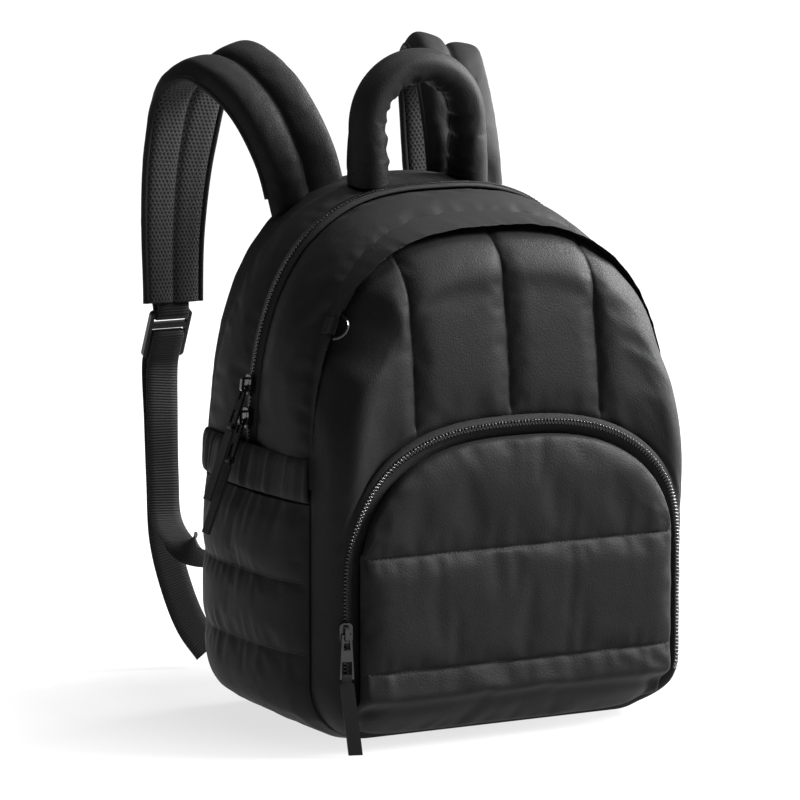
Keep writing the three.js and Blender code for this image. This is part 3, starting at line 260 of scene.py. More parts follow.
def grid_normals(grid):
    along = np.gradient(grid, axis=0)
    across = np.gradient(grid, axis=1)
    normal = np.cross(along, across)
    return normal / np.maximum(np.linalg.norm(normal, axis=-1, keepdims=True), 1e-9)


def outward_normals(grid, centre):
    normal = grid_normals(grid)
    facing = np.sum(normal * (grid - np.asarray(centre, float)))
    return normal if facing > 0 else -normal


def grid_uv(grid):
    """Lengths along the rows and columns, in metres, so that cloth patterns keep their scale."""
    steps_u = np.linalg.norm(np.diff(grid, axis=0), axis=-1).mean(axis=1)
    steps_v = np.linalg.norm(np.diff(grid, axis=1), axis=-1).mean(axis=0)
    u, v = np.append(0, np.cumsum(steps_u)), np.append(0, np.cumsum(steps_v))
    return np.stack(np.meshgrid(u, v, indexing="ij"), -1) / 1000


def grid_faces(rows, columns, start=0):
    index = np.arange(rows * columns).reshape(rows, columns) + start
    return np.stack([index[:-1, :-1], index[1:, :-1], index[1:, 1:], index[:-1, 1:]], -1).reshape(-1, 4)


def border_ring(rows, columns):
    index = np.arange(rows * columns).reshape(rows, columns)
    return np.concatenate([index[0], index[1:, -1], index[-1, -2::-1], index[-2:0:-1, 0]])


def mesh_object(name, points, faces, uv=None, smooth=True):
    mesh = bpy.data.meshes.new(name)
    spots = (np.asarray(points) + ORIGIN) / 1000
    mesh.from_pydata(spots.tolist(), [], [tuple(map(int, face)) for face in faces])
    if uv is not None:
        layer = mesh.uv_layers.new(name="cloth")
        corner = np.empty(len(mesh.loops), dtype=np.int32)
        mesh.loops.foreach_get("vertex_index", corner)
        layer.data.foreach_set("uv", uv[corner].ravel())
    mesh.polygons.foreach_set("use_smooth", [smooth] * len(mesh.polygons))
    mesh.update()
    piece = bpy.data.objects.new(name, mesh)
    bpy.context.scene.collection.objects.link(piece)
    return piece


def signed_volume(points, faces):
    total = 0.0
    for face in faces:
        a, *others = [points[k] for k in face]
        for b, c in zip(others, others[1:]):
            total += np.dot(a, np.cross(b, c))
    return total


def closed_sheet(name, outer, inner):
    """A closed piece between two grids of points."""
    rows, columns = outer.shape[:2]
    count = rows * columns
    ring = border_ring(rows, columns)
    faces = [tuple(f) for f in grid_faces(rows, columns)]
    faces += [tuple(f[::-1]) for f in grid_faces(rows, columns, count)]
    after = np.roll(ring, -1)
    faces += [(a, b, b + count, a + count) for a, b in zip(ring, after)]
    points = np.concatenate([outer.reshape(-1, 3), inner.reshape(-1, 3)])
    sample = points - points.mean(axis=0)
    if signed_volume(sample, faces) < 0:
        faces = [f[::-1] for f in faces]
    uv = np.concatenate([grid_uv(outer).reshape(-1, 2)] * 2)
    return mesh_object(name, points, faces, uv)


def closed_sweep(name, rings):
    """A closed tube through equal rings of points, its ends filled."""
    rings = np.asarray(rings)
    count, around = rings.shape[:2]
    index = np.arange(count * around).reshape(count, around)
    nxt = np.roll(index, -1, 1)
    faces = np.stack([index[:-1], index[1:], nxt[1:], nxt[:-1]], -1).reshape(-1, 4).tolist()
    faces += [index[0].tolist(), index[-1][::-1].tolist()]
    points = rings.reshape(-1, 3)
    if signed_volume(points - points.mean(axis=0), faces) < 0:
        faces = [f[::-1] for f in faces]
    middle = rings.mean(axis=1)
    along = np.append(0, np.cumsum(np.linalg.norm(np.diff(middle, axis=0), axis=1)))
    around_at = np.append(0, np.cumsum(np.linalg.norm(np.diff(rings[count // 2], axis=0), axis=1)))
    uv = np.stack(np.meshgrid(along, around_at, indexing="ij"), -1).reshape(-1, 2) / 1000
    return mesh_object(name, points, faces, uv)


print("helpers ready")

# %% Cloth that fills all panels at once
CLOTH_FRAMES = 12


def lay_out(name, grid, pinned, centre, stretch=0.008, pressure=1.5, bend=1.5, cap=2.0, wave=0.2, seed=1):
    """Puts a panel on the list of sheets that the filling presses out."""
    normal = outward_normals(grid, centre)
    ripple = soft_noise(grid.shape[:2], 14, seed) * wave * ~pinned
    LINEN[name] = {
        "grid": grid, "pinned": pinned, "normal": normal, "stretch": stretch, "pressure": pressure,
        "bend": bend, "cap": cap, "start": grid + normal * ripple[..., None],
    }


def add_cloth(name, sheet):
    rows, columns = sheet["pinned"].shape
    faces = grid_faces(rows, columns)
    normal = sheet["normal"][rows // 2, columns // 2]
    if np.dot(grid_normals(sheet["start"])[rows // 2, columns // 2], normal) < 0:
        faces = faces[:, ::-1]
    piece = mesh_object("linen_" + name, sheet["start"].reshape(-1, 3), faces)
    group = piece.vertex_groups.new(name="seams")
    group.add([int(i) for i in np.flatnonzero(sheet["pinned"])], 1.0, "REPLACE")
    cloth = piece.modifiers.new("filling", "CLOTH")
    settings = cloth.settings
    settings.quality = 4
    settings.tension_stiffness = settings.compression_stiffness = 20
    settings.shear_stiffness = 6
    settings.bending_stiffness = sheet["bend"]
    settings.vertex_group_mass = "seams"
    settings.shrink_min = settings.shrink_max = -sheet["stretch"]
    settings.use_pressure = True
    settings.uniform_pressure_force = sheet["pressure"]
    settings.effector_weights.gravity = 0
    cloth.collision_settings.use_collision = False
    return piece


def relax(grid, pinned, rounds):
    for _ in range(rounds):
        around = sum(np.roll(grid, shift, axis) for axis in (0, 1) for shift in (1, -1)) / 4
        grid = np.where(pinned[..., None], grid, mix(grid, around, 0.5))
    return grid


def fill_panels():
    """Runs the cloth for every listed sheet and keeps the shapes."""
    pieces = {name: add_cloth(name, sheet) for name, sheet in LINEN.items()}
    scene = bpy.context.scene
    for step in range(1, CLOTH_FRAMES + 1):
        scene.frame_set(step)
    depsgraph = bpy.context.evaluated_depsgraph_get()
    for name, piece in pieces.items():
        sheet = LINEN[name]
        moved = piece.evaluated_get(depsgraph).data
        flat = np.empty(len(moved.vertices) * 3)
        moved.vertices.foreach_get("co", flat)
        result = flat.reshape(sheet["grid"].shape) * 1000 - ORIGIN
        move = result - sheet["grid"]
        length = np.linalg.norm(move, axis=-1, keepdims=True)
        move *= sheet["cap"] * np.tanh(length / sheet["cap"]) / np.maximum(length, 1e-6)
        edge = np.zeros_like(sheet["pinned"])
        edge[[0, -1]] = edge[:, [0, -1]] = True
        sheet["filled"] = relax(sheet["grid"] + move, sheet["pinned"] | edge, 2)
        bpy.data.objects.remove(piece, do_unlink=True)
        print(f"{name}: {sheet['pinned'].size} points, moved up to {length.max():.1f} mm")
    scene.frame_set(1)


print("sheets are collected, then filled together")

# %% [markdown]
# The two gussets form the upper sides and top, before and behind the main zipper. Their cloth is
# nearly smooth: it rises a little from the zipper's tape and from the seam, and puckers at both.

# %% Gussets
TAPE_HALF = 8.0
GUSSET_RISE = {"front": 3.2, "back": 1.28}


def gusset_grid(seam, direction, seed, columns=250, rows=32):
    spring = GAP / SPRING
    angle = np.linspace(np.pi - spring, spring, columns)
    span = np.abs(arch_point(seam, angle)[:, 1] - arch_point("zipper", angle)[:, 1])
    share = eased(rows, True)
    station = direction * mix((TAPE_HALF + GAP) / span[:, None], 1 - 1.5 * GAP / span[:, None], share)
    angles = np.repeat(angle[:, None], rows, 1)
    grid = wall_point(angles, station, 1.5)
    from_zipper, from_seam = share * span[:, None], (1 - share) * span[:, None]
    rise = GUSSET_RISE[seam] * dome(from_zipper, 26) ** 2 * dome(from_seam, 14)
    rise = rise * mix(0.6, 1.0, ramp(span, 30, 80))[:, None]
    around = angles * SPRING
    folds = pucker(from_zipper, around, seed, 6, 0.7) + pucker(from_seam, around, seed + 40, 9, 1.0, 5.5)
    outward = np.stack([np.cos(angles), 0 * angles, np.sin(angles)], -1)
    return grid + outward * (rise + folds)[..., None]


def border_pins(grid):
    pins = np.zeros(grid.shape[:2], bool)
    pins[[0, -1]] = pins[:, [0, -1]] = True
    return pins


MIDDLE = (0, 0, SPRING)
for name, seam, direction, seed in (("gusset_rear", "back", 1, 3), ("gusset_front", "front", -1, 4)):
    grid = gusset_grid(seam, direction, seed)
    lay_out(name, grid, border_pins(grid), MIDDLE, cap=3.0, seed=seed)
print("gussets laid out")

# %% [markdown]
# The front panel has three upright channel seams above the pocket. Beside each seam the filling
# rises in a round roll, and it dips where the pocket's zipper is sewn on. Behind the pocket the
# panel lies deeper and flat, because the pocket needs the room and nobody sees it.

# %% Front panel
CHANNELS = (-0.528 * HALF, 0.0, 0.5 * HALF)
CHANNEL_DEPTH, CHANNEL_ROLL = 4.8, 16
RIM_RISE, RIM_ROLL, RIM_END = 6.0, 9, 45
ZIPPER_DIP, ZIPPER_ROLL = 3.0, 16
RING_SPOT, RING_CLEAR = (-114.0, 289.0), (13, 34)
TUCK = 1.3
POCKET = {"half": 131.6, "height": 220.5, "shoulder": 110.0, "round": 2.6}


def pocket_measure(x, z):
    """1 on the pocket's zipper line, less inside it."""
    k = POCKET["round"]
    up = np.maximum(0, z - POCKET["shoulder"]) / (POCKET["height"] - POCKET["shoulder"])
    return ((np.abs(x) / POCKET["half"]) ** k + up ** k) ** (1 / k)


def full_front(x, z):
    lower = 1 - ramp(z, SPRING, HEIGHT * 0.77)
    inset = inset_of("front", x, z)
    fullness = mix(0.95, 0.5, lower)
    share = puff_share(inset, mix(36, 22, lower), fullness)
    return seam_depth("front", z) - GAP - mix(33, 30, lower) * share


def channel_valley(x, z, inset, beside_zipper):
    """Depth of the three seams between the channels, with the folds beside them."""
    off = np.array([x - seam for seam in CHANNELS])
    which = np.argmin(np.abs(off), axis=0)
    nearest = np.take_along_axis(off, which[None], 0)[0]
    folds = pucker(np.abs(nearest), z + 90 * (2 * which + (nearest > 0)), 71, 5, 0.9)
    valley = CHANNEL_DEPTH * (1 - dome(np.abs(nearest), CHANNEL_ROLL)) - folds
    return valley * ramp(inset, 0, 9) * ramp(beside_zipper, 0, 8)


def front_face(x, z):
    full, inset, measure = full_front(x, z), inset_of("front", x, z), pocket_measure(x, z)
    in_pocket = clamp((1 - measure) / 0.14, 0, 1)
    recessed = seam_depth("front", z) - GAP - 10 * puff_share(inset, 30, 1)
    beside_zipper = np.maximum(measure - 1.045, 0) * 115
    roll = RIM_RISE * dome(inset, RIM_ROLL) * (1 - ramp(inset, RIM_ROLL, RIM_END))
    dip = ZIPPER_DIP * (1 - dome(beside_zipper, ZIPPER_ROLL)) * ramp(inset, 4, 16)
    folds = pucker(inset, np.arctan2(z - SPRING, x) * 160, 61, 8, 1.0)
    folds = folds + pucker(beside_zipper, x, 65, 9, 0.8, 7.0) * ramp(inset, 8, 20)
    shape = dip + channel_valley(x, z, inset, beside_zipper) - roll - folds - 1.5 * dome(beside_zipper, 30)
    beside_ring = ramp(np.hypot(x - RING_SPOT[0], z - RING_SPOT[1]), *RING_CLEAR)
    return mix(full + shape * beside_ring, np.maximum(recessed, full), in_pocket)


def spread(marks, counts):
    parts = [mix(a, b, eased(n)) for a, b, n in zip(marks, marks[1:], counts)]
    return np.append(np.concatenate(parts), marks[-1])


def face_grid(seam, station, x, rows, depth):
    share = np.linspace(0, 1, rows)
    share = mix(share, 0.5 - 0.5 * np.cos(np.pi * share), 0.35)
    bottom, top = bottom_at(station, x), seam_top(seam, x)
    z = mix(bottom[:, None], top[:, None], share[None])
    wide = np.repeat(x[:, None], rows, 1)
    return np.stack([wide, depth(wide, z), z], -1)


x = spread((-HALF, *CHANNELS, HALF), (28, 31, 30, 28))
grid = face_grid("front", -1.0, x, 128, front_face)
grid[:, -1, 1:] += TUCK
grid[[0, -1], :, 0] += np.array([[-TUCK], [TUCK]])
measure = pocket_measure(grid[..., 0], grid[..., 2])
pins = border_pins(grid) | (measure < 1.07)
for seam in CHANNELS:
    pins[np.argmin(np.abs(x - seam))] = True
lay_out("front_panel", grid, pins, MIDDLE, cap=1.6, seed=5)
print("front panel:", grid.shape[:2])

# %% [markdown]
# The front pocket is one wide panel with two level channel seams. Its rim lies on the zipper's
# tape along the arch and on the front panel at the bottom.

# %% Pocket panel
POCKET_SEAMS, POCKET_SPANS = (56.0, 136.0), (24, 32, 30)
POCKET_PUFF, POCKET_ROLL, POCKET_RIM = 6.4, 22, 2.6
PANEL_HALF, PANEL_TOP = 123.6, 212.5
TAPE_THICK = 1.6


def tape_depth(x, z):
    return full_front(x, z) - 3 * GAP


def pocket_top(x):
    share = clamp(np.abs(x) / PANEL_HALF, 0, 1)
    arch = POCKET["shoulder"] + (PANEL_TOP - POCKET["shoulder"]) * (1 - share ** 2.6) ** (1 / 2.6)
    return np.maximum(arch, POCKET_SEAMS[1] + 3)


def pocket_grid(columns=104):
    share = np.linspace(-1, 1, columns)
    share = mix(share, np.sin(share * np.pi / 2), 0.35)
    x = share * PANEL_HALF
    foot = mix(bottom_at(-1.0, x) + 2, 17.0, np.abs(share) ** 8)
    marks = [foot, *(np.full_like(x, z) for z in POCKET_SEAMS), pocket_top(x)]
    rows = [mix(a[:, None], b[:, None], eased(n)[None]) for a, b, n in zip(marks, marks[1:], POCKET_SPANS)]
    z = np.concatenate([*rows, marks[-1][:, None]], 1)
    wide = np.repeat(x[:, None], z.shape[1], 1)
    side = np.minimum(PANEL_HALF - np.abs(wide), pocket_top(wide) - z)
    inset = np.maximum(np.minimum(side, z - foot[:, None]), 0)
    return wide, z, inset


wide, z, inset = pocket_grid()
on_tape = np.maximum(ramp(z, 26, 38), ramp(inset, 0, 30) * 0.6)
rim = mix(front_face(wide, z), tape_depth(clamp(wide, -131, 131), z) - 1 - TAPE_THICK, on_tape) - 1.5 * GAP
seam_rows = [POCKET_SPANS[0], POCKET_SPANS[0] + POCKET_SPANS[1]]
quilt = np.min([np.abs(z - mark) for mark in POCKET_SEAMS], axis=0)
which = (z > POCKET_SEAMS[0]) * 1 + (z > sum(POCKET_SEAMS) / 2)
folds = pucker(quilt, wide + 300 * which, 81, 7, 0.9, 5.5) * ramp(inset, 0, 10)
folds += pucker(inset, np.arctan2(z - POCKET["shoulder"], wide) * 120, 85, 9, 1.1, 6.0)
upright = wander(wide + 0.25 * z, 13.0, 88) * 0.9 * ramp(z, POCKET_SEAMS[1], 170) * ramp(inset, 4, 20)
puff = POCKET_PUFF * dome(inset, POCKET_ROLL) * mix(0.3, 1.0, dome(quilt, 17)) + 0.6 * upright
grid = np.stack([wide, rim - POCKET_RIM * dome(inset, 4) - puff - folds, z], -1)
pins = border_pins(grid)
pins[:, seam_rows] = True
pocket_back = np.stack([wide, rim, z], -1)
lay_out("pocket_panel", grid, pins, MIDDLE, cap=1.6, seed=6)
print("pocket panel:", grid.shape[:2])

# %% [markdown]
# The side pockets bulge from the walls, with two level seams each. Their cloth is gathered into
# an elastic band at the mouth, and the folds run down from it.

# %% Side pockets
BAND_FOOT, BAND_TOP = 171.0, 202.0
POCKET_ROWS = np.array([
    [1.0, 1, 0.5], [0.91, 1, 0.84], [0.77, 1, 1.0], [0.68, 1, 1.02], [0.6, 1, 1.03], [0.47, 1, 1.03],
    [0.385, 1, 1.0], [0.6, 0, 0.92], [0.53, 0, 0.74], [0.46, 0, 0.42], [0.39, 0, 0.0],
])
SIDE_SEAMS = (0.68 * BAND_FOOT, 0.385 * BAND_FOOT)
SIDE_SWELL, SIDE_WALL, GATHER_DEPTH, GATHER_REACH = 15.5, 3.0, 2.6, 16


def side_pocket_grid(side, seed, columns=84, rows=96):
    station = clamp(np.linspace(-1, 1, columns), -0.985, 0.985)
    span = np.maximum(np.sin(np.pi * (np.linspace(-1, 1, columns) + 1) / 2), 0) ** 0.55
    lift, corner, _ = base_section(station)
    turns = []
    for height, level_row, _ in POCKET_ROWS:
        on_wall = (height * BAND_FOOT - GAP - lift - corner) / (SPRING - lift - corner)
        turns.append(mix(CORNER_TOP, 1, on_wall) if level_row else np.full_like(station, height))
    place = np.linspace(0, len(POCKET_ROWS) - 1, rows)
    marks = np.arange(len(POCKET_ROWS))
    turn = np.stack([np.interp(place, marks, column) for column in np.stack(turns, 1)], 1)
    bulge = np.interp(place, marks, POCKET_ROWS[:, 2])
    kernel = np.hanning(7) / np.hanning(7).sum()
    bulge = np.convolve(np.pad(bulge, 3, mode="edge"), kernel, mode="valid")
    wall, outward = lower_wall(np.repeat(station[None], rows, 0), turn, side)
    z, along = wall[..., 2], wall[..., 1]
    quilt = np.min([np.abs(z - mark) for mark in SIDE_SEAMS], axis=0)
    seam_share = mix(0.7, 1.0, dome(quilt, 15))
    folds = pucker(quilt, along + 200 * (z > 91), seed, 7, 0.9, 5.0)
    gathers = GATHER_DEPTH * np.exp((z - BAND_FOOT) / GATHER_REACH)
    gathers = gathers * wander(along + 0.2 * z, 5.5, seed + 50)
    swell = SIDE_SWELL * span[None] * bulge[:, None] * seam_share
    fade = np.minimum(1, span * 1.2)[None]
    return wall + outward * (GAP + swell + (folds + gathers) * fade)[..., None], place


for side, suffix, seed in ((-1, "left", 7), (1, "right", 8)):
    grid, place = side_pocket_grid(side, seed)
    pins = border_pins(grid)
    for mark in (3, 6):
        pins[np.argmin(np.abs(place - mark))] = True
    lay_out("side_pocket_" + suffix, grid, pins, (side * 60, 0, 90), cap=1.6, seed=seed)
print("side pockets:", grid.shape[:2])

# %% [markdown]
# The back panel is plain and lies against the wearer. The base is a trough that joins the side
# walls under the bag, and it stays flat where it stands.

# %% Back panel and base
PADDED_WALL = 5.0


def back_face(x, z):
    inset = inset_of("back", x, z)
    return seam_depth("back", z) + GAP + PADDED_WALL * (0.6 + puff_share(inset, 26, 0.6))


back_half = SEAMS["back"]["half"] * HALF
x = spread((-back_half, -45, 45, back_half), (24, 22, 24))
grid = face_grid("back", 1.0, x, 90, back_face)
pins = border_pins(grid) | (grid[..., 2] < 12)
for mark in (-45, 45):
    pins[np.argmin(np.abs(x - mark))] = True
lay_out("back_panel", grid, pins, MIDDLE, cap=2.5, seed=9)

turns = np.concatenate([np.linspace(1, CORNER_TOP, 30, endpoint=False),
                        np.linspace(CORNER_TOP, CORNER_END, 22), np.linspace(CORNER_END, 0, 30)[1:]])
stations = np.linspace(-1, 1, 60)
base_station, base_turn = np.meshgrid(stations, turns, indexing="xy")
right_half, _ = lower_wall(base_station, base_turn, 1)
left_half, _ = lower_wall(base_station, base_turn, -1)
base_grid = np.concatenate([right_half, left_half[-2::-1]])
base_grid[..., 2] = np.minimum(base_grid[..., 2], SPRING - GAP)
base_grid[:, 0, 1] += GAP
base_grid[:, -1, 1] -= 2 * GAP
print("base:", base_grid.shape[:2])

# %% [markdown]
# A shoulder strap is a long pad with a seam along its middle. It starts on the back panel, arches
# over and hangs down to its buckle. Its inner face is spacer mesh, made as a piece of its own.

# %% Shoulder straps
STRAP_TABLE = np.array([
    [0.0, 0.0, 0.0, 11], [0.09, 0.12, 0.106, 13], [0.3, 0.37, 0.212, 15], [0.57, 0.65, 0.257, 16],
    [0.78, 0.86, 0.212, 12], [0.91, 0.965, 0.088, 6], [0.98, 1.0, -0.058, 2], [1.0, 0.993, -0.207, 0],
])
STRAP_THICK, STRAP_REACH, ANCHOR_SPREAD, END_SPREAD, ANCHOR_DROP = 13.0, 129.0, 128.0, 220.0, 25.0


def smooth_path(marks, per_span=40):
    """Centripetal curve through the marks, with the mark number of each of its points."""
    marks = np.asarray(marks, float)
    ends = np.concatenate([[2 * marks[0] - marks[1]], marks, [2 * marks[-1] - marks[-2]]])
    points, places = [], []
    for i in range(len(marks) - 1):
        p = ends[i:i + 4]
        knots = np.append(0, np.cumsum(np.linalg.norm(np.diff(p, axis=0), axis=1) ** 0.5))
        for share in np.linspace(0, 1, per_span, endpoint=False):
            t = mix(knots[1], knots[2], share)
            a = [mix(p[k], p[k + 1], (t - knots[k]) / (knots[k + 1] - knots[k])) for k in range(3)]
            b = [mix(a[k], a[k + 1], (t - knots[k]) / (knots[k + 2] - knots[k])) for k in range(2)]
            points.append(mix(b[0], b[1], (t - knots[1]) / (knots[2] - knots[1])))
            places.append(i + share)
    return np.array([*points, marks[-1]]), np.array([*places, len(marks) - 1.0])


def resample(points, places, count):
    length = np.append(0, np.cumsum(np.linalg.norm(np.diff(points, axis=0), axis=1)))
    at = np.linspace(0, length[-1], count)
    even = np.stack([np.interp(at, length, points[:, k]) for k in range(3)], 1)
    return even, np.interp(at, length, places), at


def unit(v):
    return v / np.maximum(np.linalg.norm(v, axis=-1, keepdims=True), 1e-9)


def strap_frame(side, count):
    anchor = HEIGHT - ANCHOR_DROP
    start = back_face(np.array(ANCHOR_SPREAD / 2), np.array(anchor)) + GAP + STRAP_THICK * 0.6
    spread_share, reach, height, roll = STRAP_TABLE.T
    marks = np.stack([side * mix(ANCHOR_SPREAD, END_SPREAD, spread_share) / 2,
                      start + STRAP_REACH * reach, anchor + HEIGHT * height], 1)
    centre, place, _ = resample(*smooth_path(marks), count)
    along = unit(np.gradient(centre, axis=0))
    angle = np.radians(np.interp(place, np.arange(len(roll)), roll))
    across = np.stack([np.cos(angle), 0 * angle, -side * np.sin(angle)], 1)
    across = unit(across - along * np.sum(across * along, 1, keepdims=True))
    off = np.cross(across, along)
    share = np.linspace(0, 1, count)
    width = mix(60.0, 45.0, ramp(share, 0.45, 1))
    return centre, across, off, along, width, share


def strap_point(frame_rows, a, h):
    centre, across, off, _, width, _ = frame_rows
    return centre[:, None] + across[:, None] * (width[:, None] * a)[..., None] + off[:, None] * h[..., None]


STRAP_ROWS, STRAP_COLUMNS = 150, 31
strap_frames = {}
for side, suffix, seed in ((-1, "left", 11), (1, "right", 12)):
    rows = strap_frame(side, STRAP_ROWS)
    strap_frames[suffix] = rows
    share = rows[5]
    a = np.linspace(-0.5, 0.5, STRAP_COLUMNS)
    channel = np.abs(a) * 2
    arch = (1 - np.abs(2 * channel - 1) ** 2.6) ** 0.5
    thick = STRAP_THICK * mix(0.7, 1, ramp(share, 0, 0.12)) * mix(1, 0.62, ramp(share, 0.9, 1))
    base_line = np.where(channel < 0.5, 0.42, 0.42 * ramp(1 - channel, 0, 0.2))
    profile = np.maximum(base_line, 0) * (1 - arch) + arch * 0.9
    height = thick[:, None] * profile[None]
    run = np.append(0, np.cumsum(np.linalg.norm(np.diff(rows[0], axis=0), axis=1)))[:, None]
    from_seam = np.minimum(np.abs(a), 0.5 - np.abs(a))[None] * rows[4][:, None]
    height = height + pucker(from_seam, run + 600 * (a > 0)[None], seed, 6, 0.8, 4.5)
    height[[0, -1]] *= 0.5
    grid = strap_point(rows, np.repeat(a[None], STRAP_ROWS, 0), height)
    grid[..., 1] = np.maximum(grid[..., 1], back_face(grid[..., 0], clamp(grid[..., 2], 5, 376)) + GAP)
    pins = border_pins(grid)
    pins[:, STRAP_COLUMNS // 2] = True
    below = rows[0].mean(axis=0) - rows[2][STRAP_ROWS // 2] * 200
    lay_out("shoulder_strap_" + suffix, grid, pins, below, cap=1.2, seed=seed)
print("straps:", grid.shape[:2])

# %% [markdown]
# The grab handle is a filled tube on two legs. Its inner side is sewn shorter than its outer one,
# so the cloth is ruffled inside the loop and smooth outside. The rings of the tube are drawn in
# by a wandering amount there, which looks less like a rope than even folds would.

# %% Grab handle
HANDLE = {"spread": 80.0, "height": 94.0, "diameter": 28.0, "seat": 22.0}


def top_surface(x, y):
    angle, station = np.full_like(x, np.pi / 2), np.full_like(x, 0.5)
    span = seam_depth("back", HEIGHT) - seam_depth("zipper", HEIGHT)
    for _ in range(12):
        point = wall_point(angle, station)
        angle = angle + (point[..., 0] - x) / (HEIGHT - SPRING)
        station = clamp(station + (y - point[..., 1]) / span, 0, 1)
    return wall_point(angle, station)[..., 2]


def handle_grid(rows=170, columns=48):
    half = HANDLE["spread"] / 2
    radius = HANDLE["diameter"] / 2
    seat = float(top_surface(np.array(half), np.array(HANDLE["seat"])))
    spring = seat + HANDLE["height"] - radius - half
    leg = spring - seat
    arc = np.pi * half
    at = np.linspace(0, 2 * leg + arc, rows)
    turn = np.pi - clamp((at - leg) / arc, 0, 1) * np.pi
    x = half * np.cos(turn)
    over_top = spring + half * np.sin(turn)
    z = np.where(at < leg, seat + at, np.where(at > leg + arc, seat + 2 * leg + arc - at, over_top))
    outward = np.stack([np.cos(turn), 0 * turn, np.sin(turn)], 1)
    centre = np.stack([x, np.full_like(x, HANDLE["seat"]), z], 1)
    ring = np.linspace(-np.pi, np.pi, columns)
    flat_side = mix(0.84, 1.0, ramp(np.abs(ring), 0, 2.6))
    r_out = radius * 0.97 * np.cos(ring)
    r_side = radius * 1.05 * np.sin(ring)
    skewed = at[:, None] + 3.0 * np.sin(ring)[None]
    ruffle = 0.5 + 0.5 * wander(skewed, 4.2, 21)
    broad = wander(skewed + 50, 17.0, 23)
    inner = ramp(np.abs(ring), 1.7, 3.0)[None]
    pull_in = 1.04 - 0.27 * ruffle * inner - 0.045 * broad * ramp(np.abs(ring), 0.6, 2.2)[None]
    pull_in = pull_in * mix(1.13, 1.0, ramp(np.minimum(at, at[-1] - at), leg * 0.3, leg * 1.3))[:, None]
    grid = (centre[:, None] + outward[:, None] * (r_out * flat_side)[None, :, None] * pull_in[..., None]
            + np.array([0, 1, 0]) * (r_side[None] * pull_in)[..., None])
    for end in (0, -1):
        grid[end, :, 2] = top_surface(grid[end, :, 0], grid[end, :, 1]) + GAP
    return grid, centre


handle, handle_centre = handle_grid()
pins = border_pins(handle)
lay_out("grab_handle", handle, pins, MIDDLE, cap=1.2, wave=0.1, seed=13)
LINEN["grab_handle"]["normal"] = unit(handle - handle_centre[:, None])
print("handle:", handle.shape[:2])

# %% Fill every panel
fill_panels()

# %% [markdown]
# Cloth, plastic and metal come next. Effects that several finishes share are node groups: the
# grain of woven nylon, soft creases, ribs, and the staggered holes of spacer mesh. Each group only
# puts out masks and heights, and each material keeps its own shader.

# %% Node helpers and shared effects


def add_node(tree, kind, inputs=(), **settings):
    """A new node. Each input takes a number, text, a tuple or another node's output."""
    item = tree.nodes.new(kind)
    for label, value in settings.items():
        setattr(item, label, value)
    for key, value in dict(inputs).items():
        if isinstance(value, (int, float, str, tuple)):
            item.inputs[key].default_value = value
        else:
            tree.links.new(value, item.inputs[key])
    return item


def new_group(name, inputs, outputs):
    """An empty shader group. An input that has no number is a vector."""
    tree = bpy.data.node_groups.new(name, "ShaderNodeTree")
    for label, value in inputs.items():
        kind = "NodeSocketVector" if value is None else "NodeSocketFloat"
        socket = tree.interface.new_socket(label, in_out="INPUT", socket_type=kind)
        if value is not None:
            socket.default_value = value
    for label in outputs:
        tree.interface.new_socket(label, in_out="OUTPUT", socket_type="NodeSocketFloat")
    return tree, tree.nodes.new("NodeGroupInput"), tree.nodes.new("NodeGroupOutput")


def maths(tree, operation, *values):
    return add_node(tree, "ShaderNodeMath", dict(enumerate(values)), operation=operation).outputs[0]


def grain_group():
    tree, start, end = new_group("woven_grain", {"Vector": None, "Fineness": 900.0}, ["Height", "Tone"])
    vector, fineness = start.outputs["Vector"], start.outputs["Fineness"]
    fine = add_node(tree, "ShaderNodeTexNoise", {"Vector": vector, "Scale": fineness, "Detail": 3})
    patch = add_node(tree, "ShaderNodeTexNoise", {"Vector": vector, "Scale": 22, "Detail": 4})
    tree.links.new(fine.outputs["Fac"], end.inputs["Height"])
    broad = maths(tree, "MULTIPLY", patch.outputs["Fac"], 0.45)
    tree.links.new(maths(tree, "MULTIPLY_ADD", fine.outputs["Fac"], 0.55, broad), end.inputs["Tone"])
    return tree


def crease_group():
    tree, start, end = new_group("soft_creases", {"Vector": None, "Size": 70.0}, ["Height"])
    wide = add_node(tree, "ShaderNodeTexNoise", {"Vector": start.outputs["Vector"], "Detail": 2,
                                                 "Scale": start.outputs["Size"], "Distortion": 0.4})
    tree.links.new(wide.outputs["Fac"], end.inputs["Height"])
    return tree


def rib_group():
    sizes = {"Along": 0.0, "Across": 0.0, "Pitch": 0.002, "Slant": 1.0}
    tree, start, end = new_group("ribs", sizes, ["Height"])
    zigzag = maths(tree, "PINGPONG", start.outputs["Across"], 0.0035)
    turned = maths(tree, "MULTIPLY", zigzag, start.outputs["Slant"])
    shifted = maths(tree, "ADD", start.outputs["Along"], turned)
    phase = maths(tree, "DIVIDE", shifted, start.outputs["Pitch"])
    wave = maths(tree, "SINE", maths(tree, "MULTIPLY", phase, 2 * math.pi))
    tree.links.new(maths(tree, "MULTIPLY_ADD", wave, 0.5, 0.5), end.inputs["Height"])
    return tree


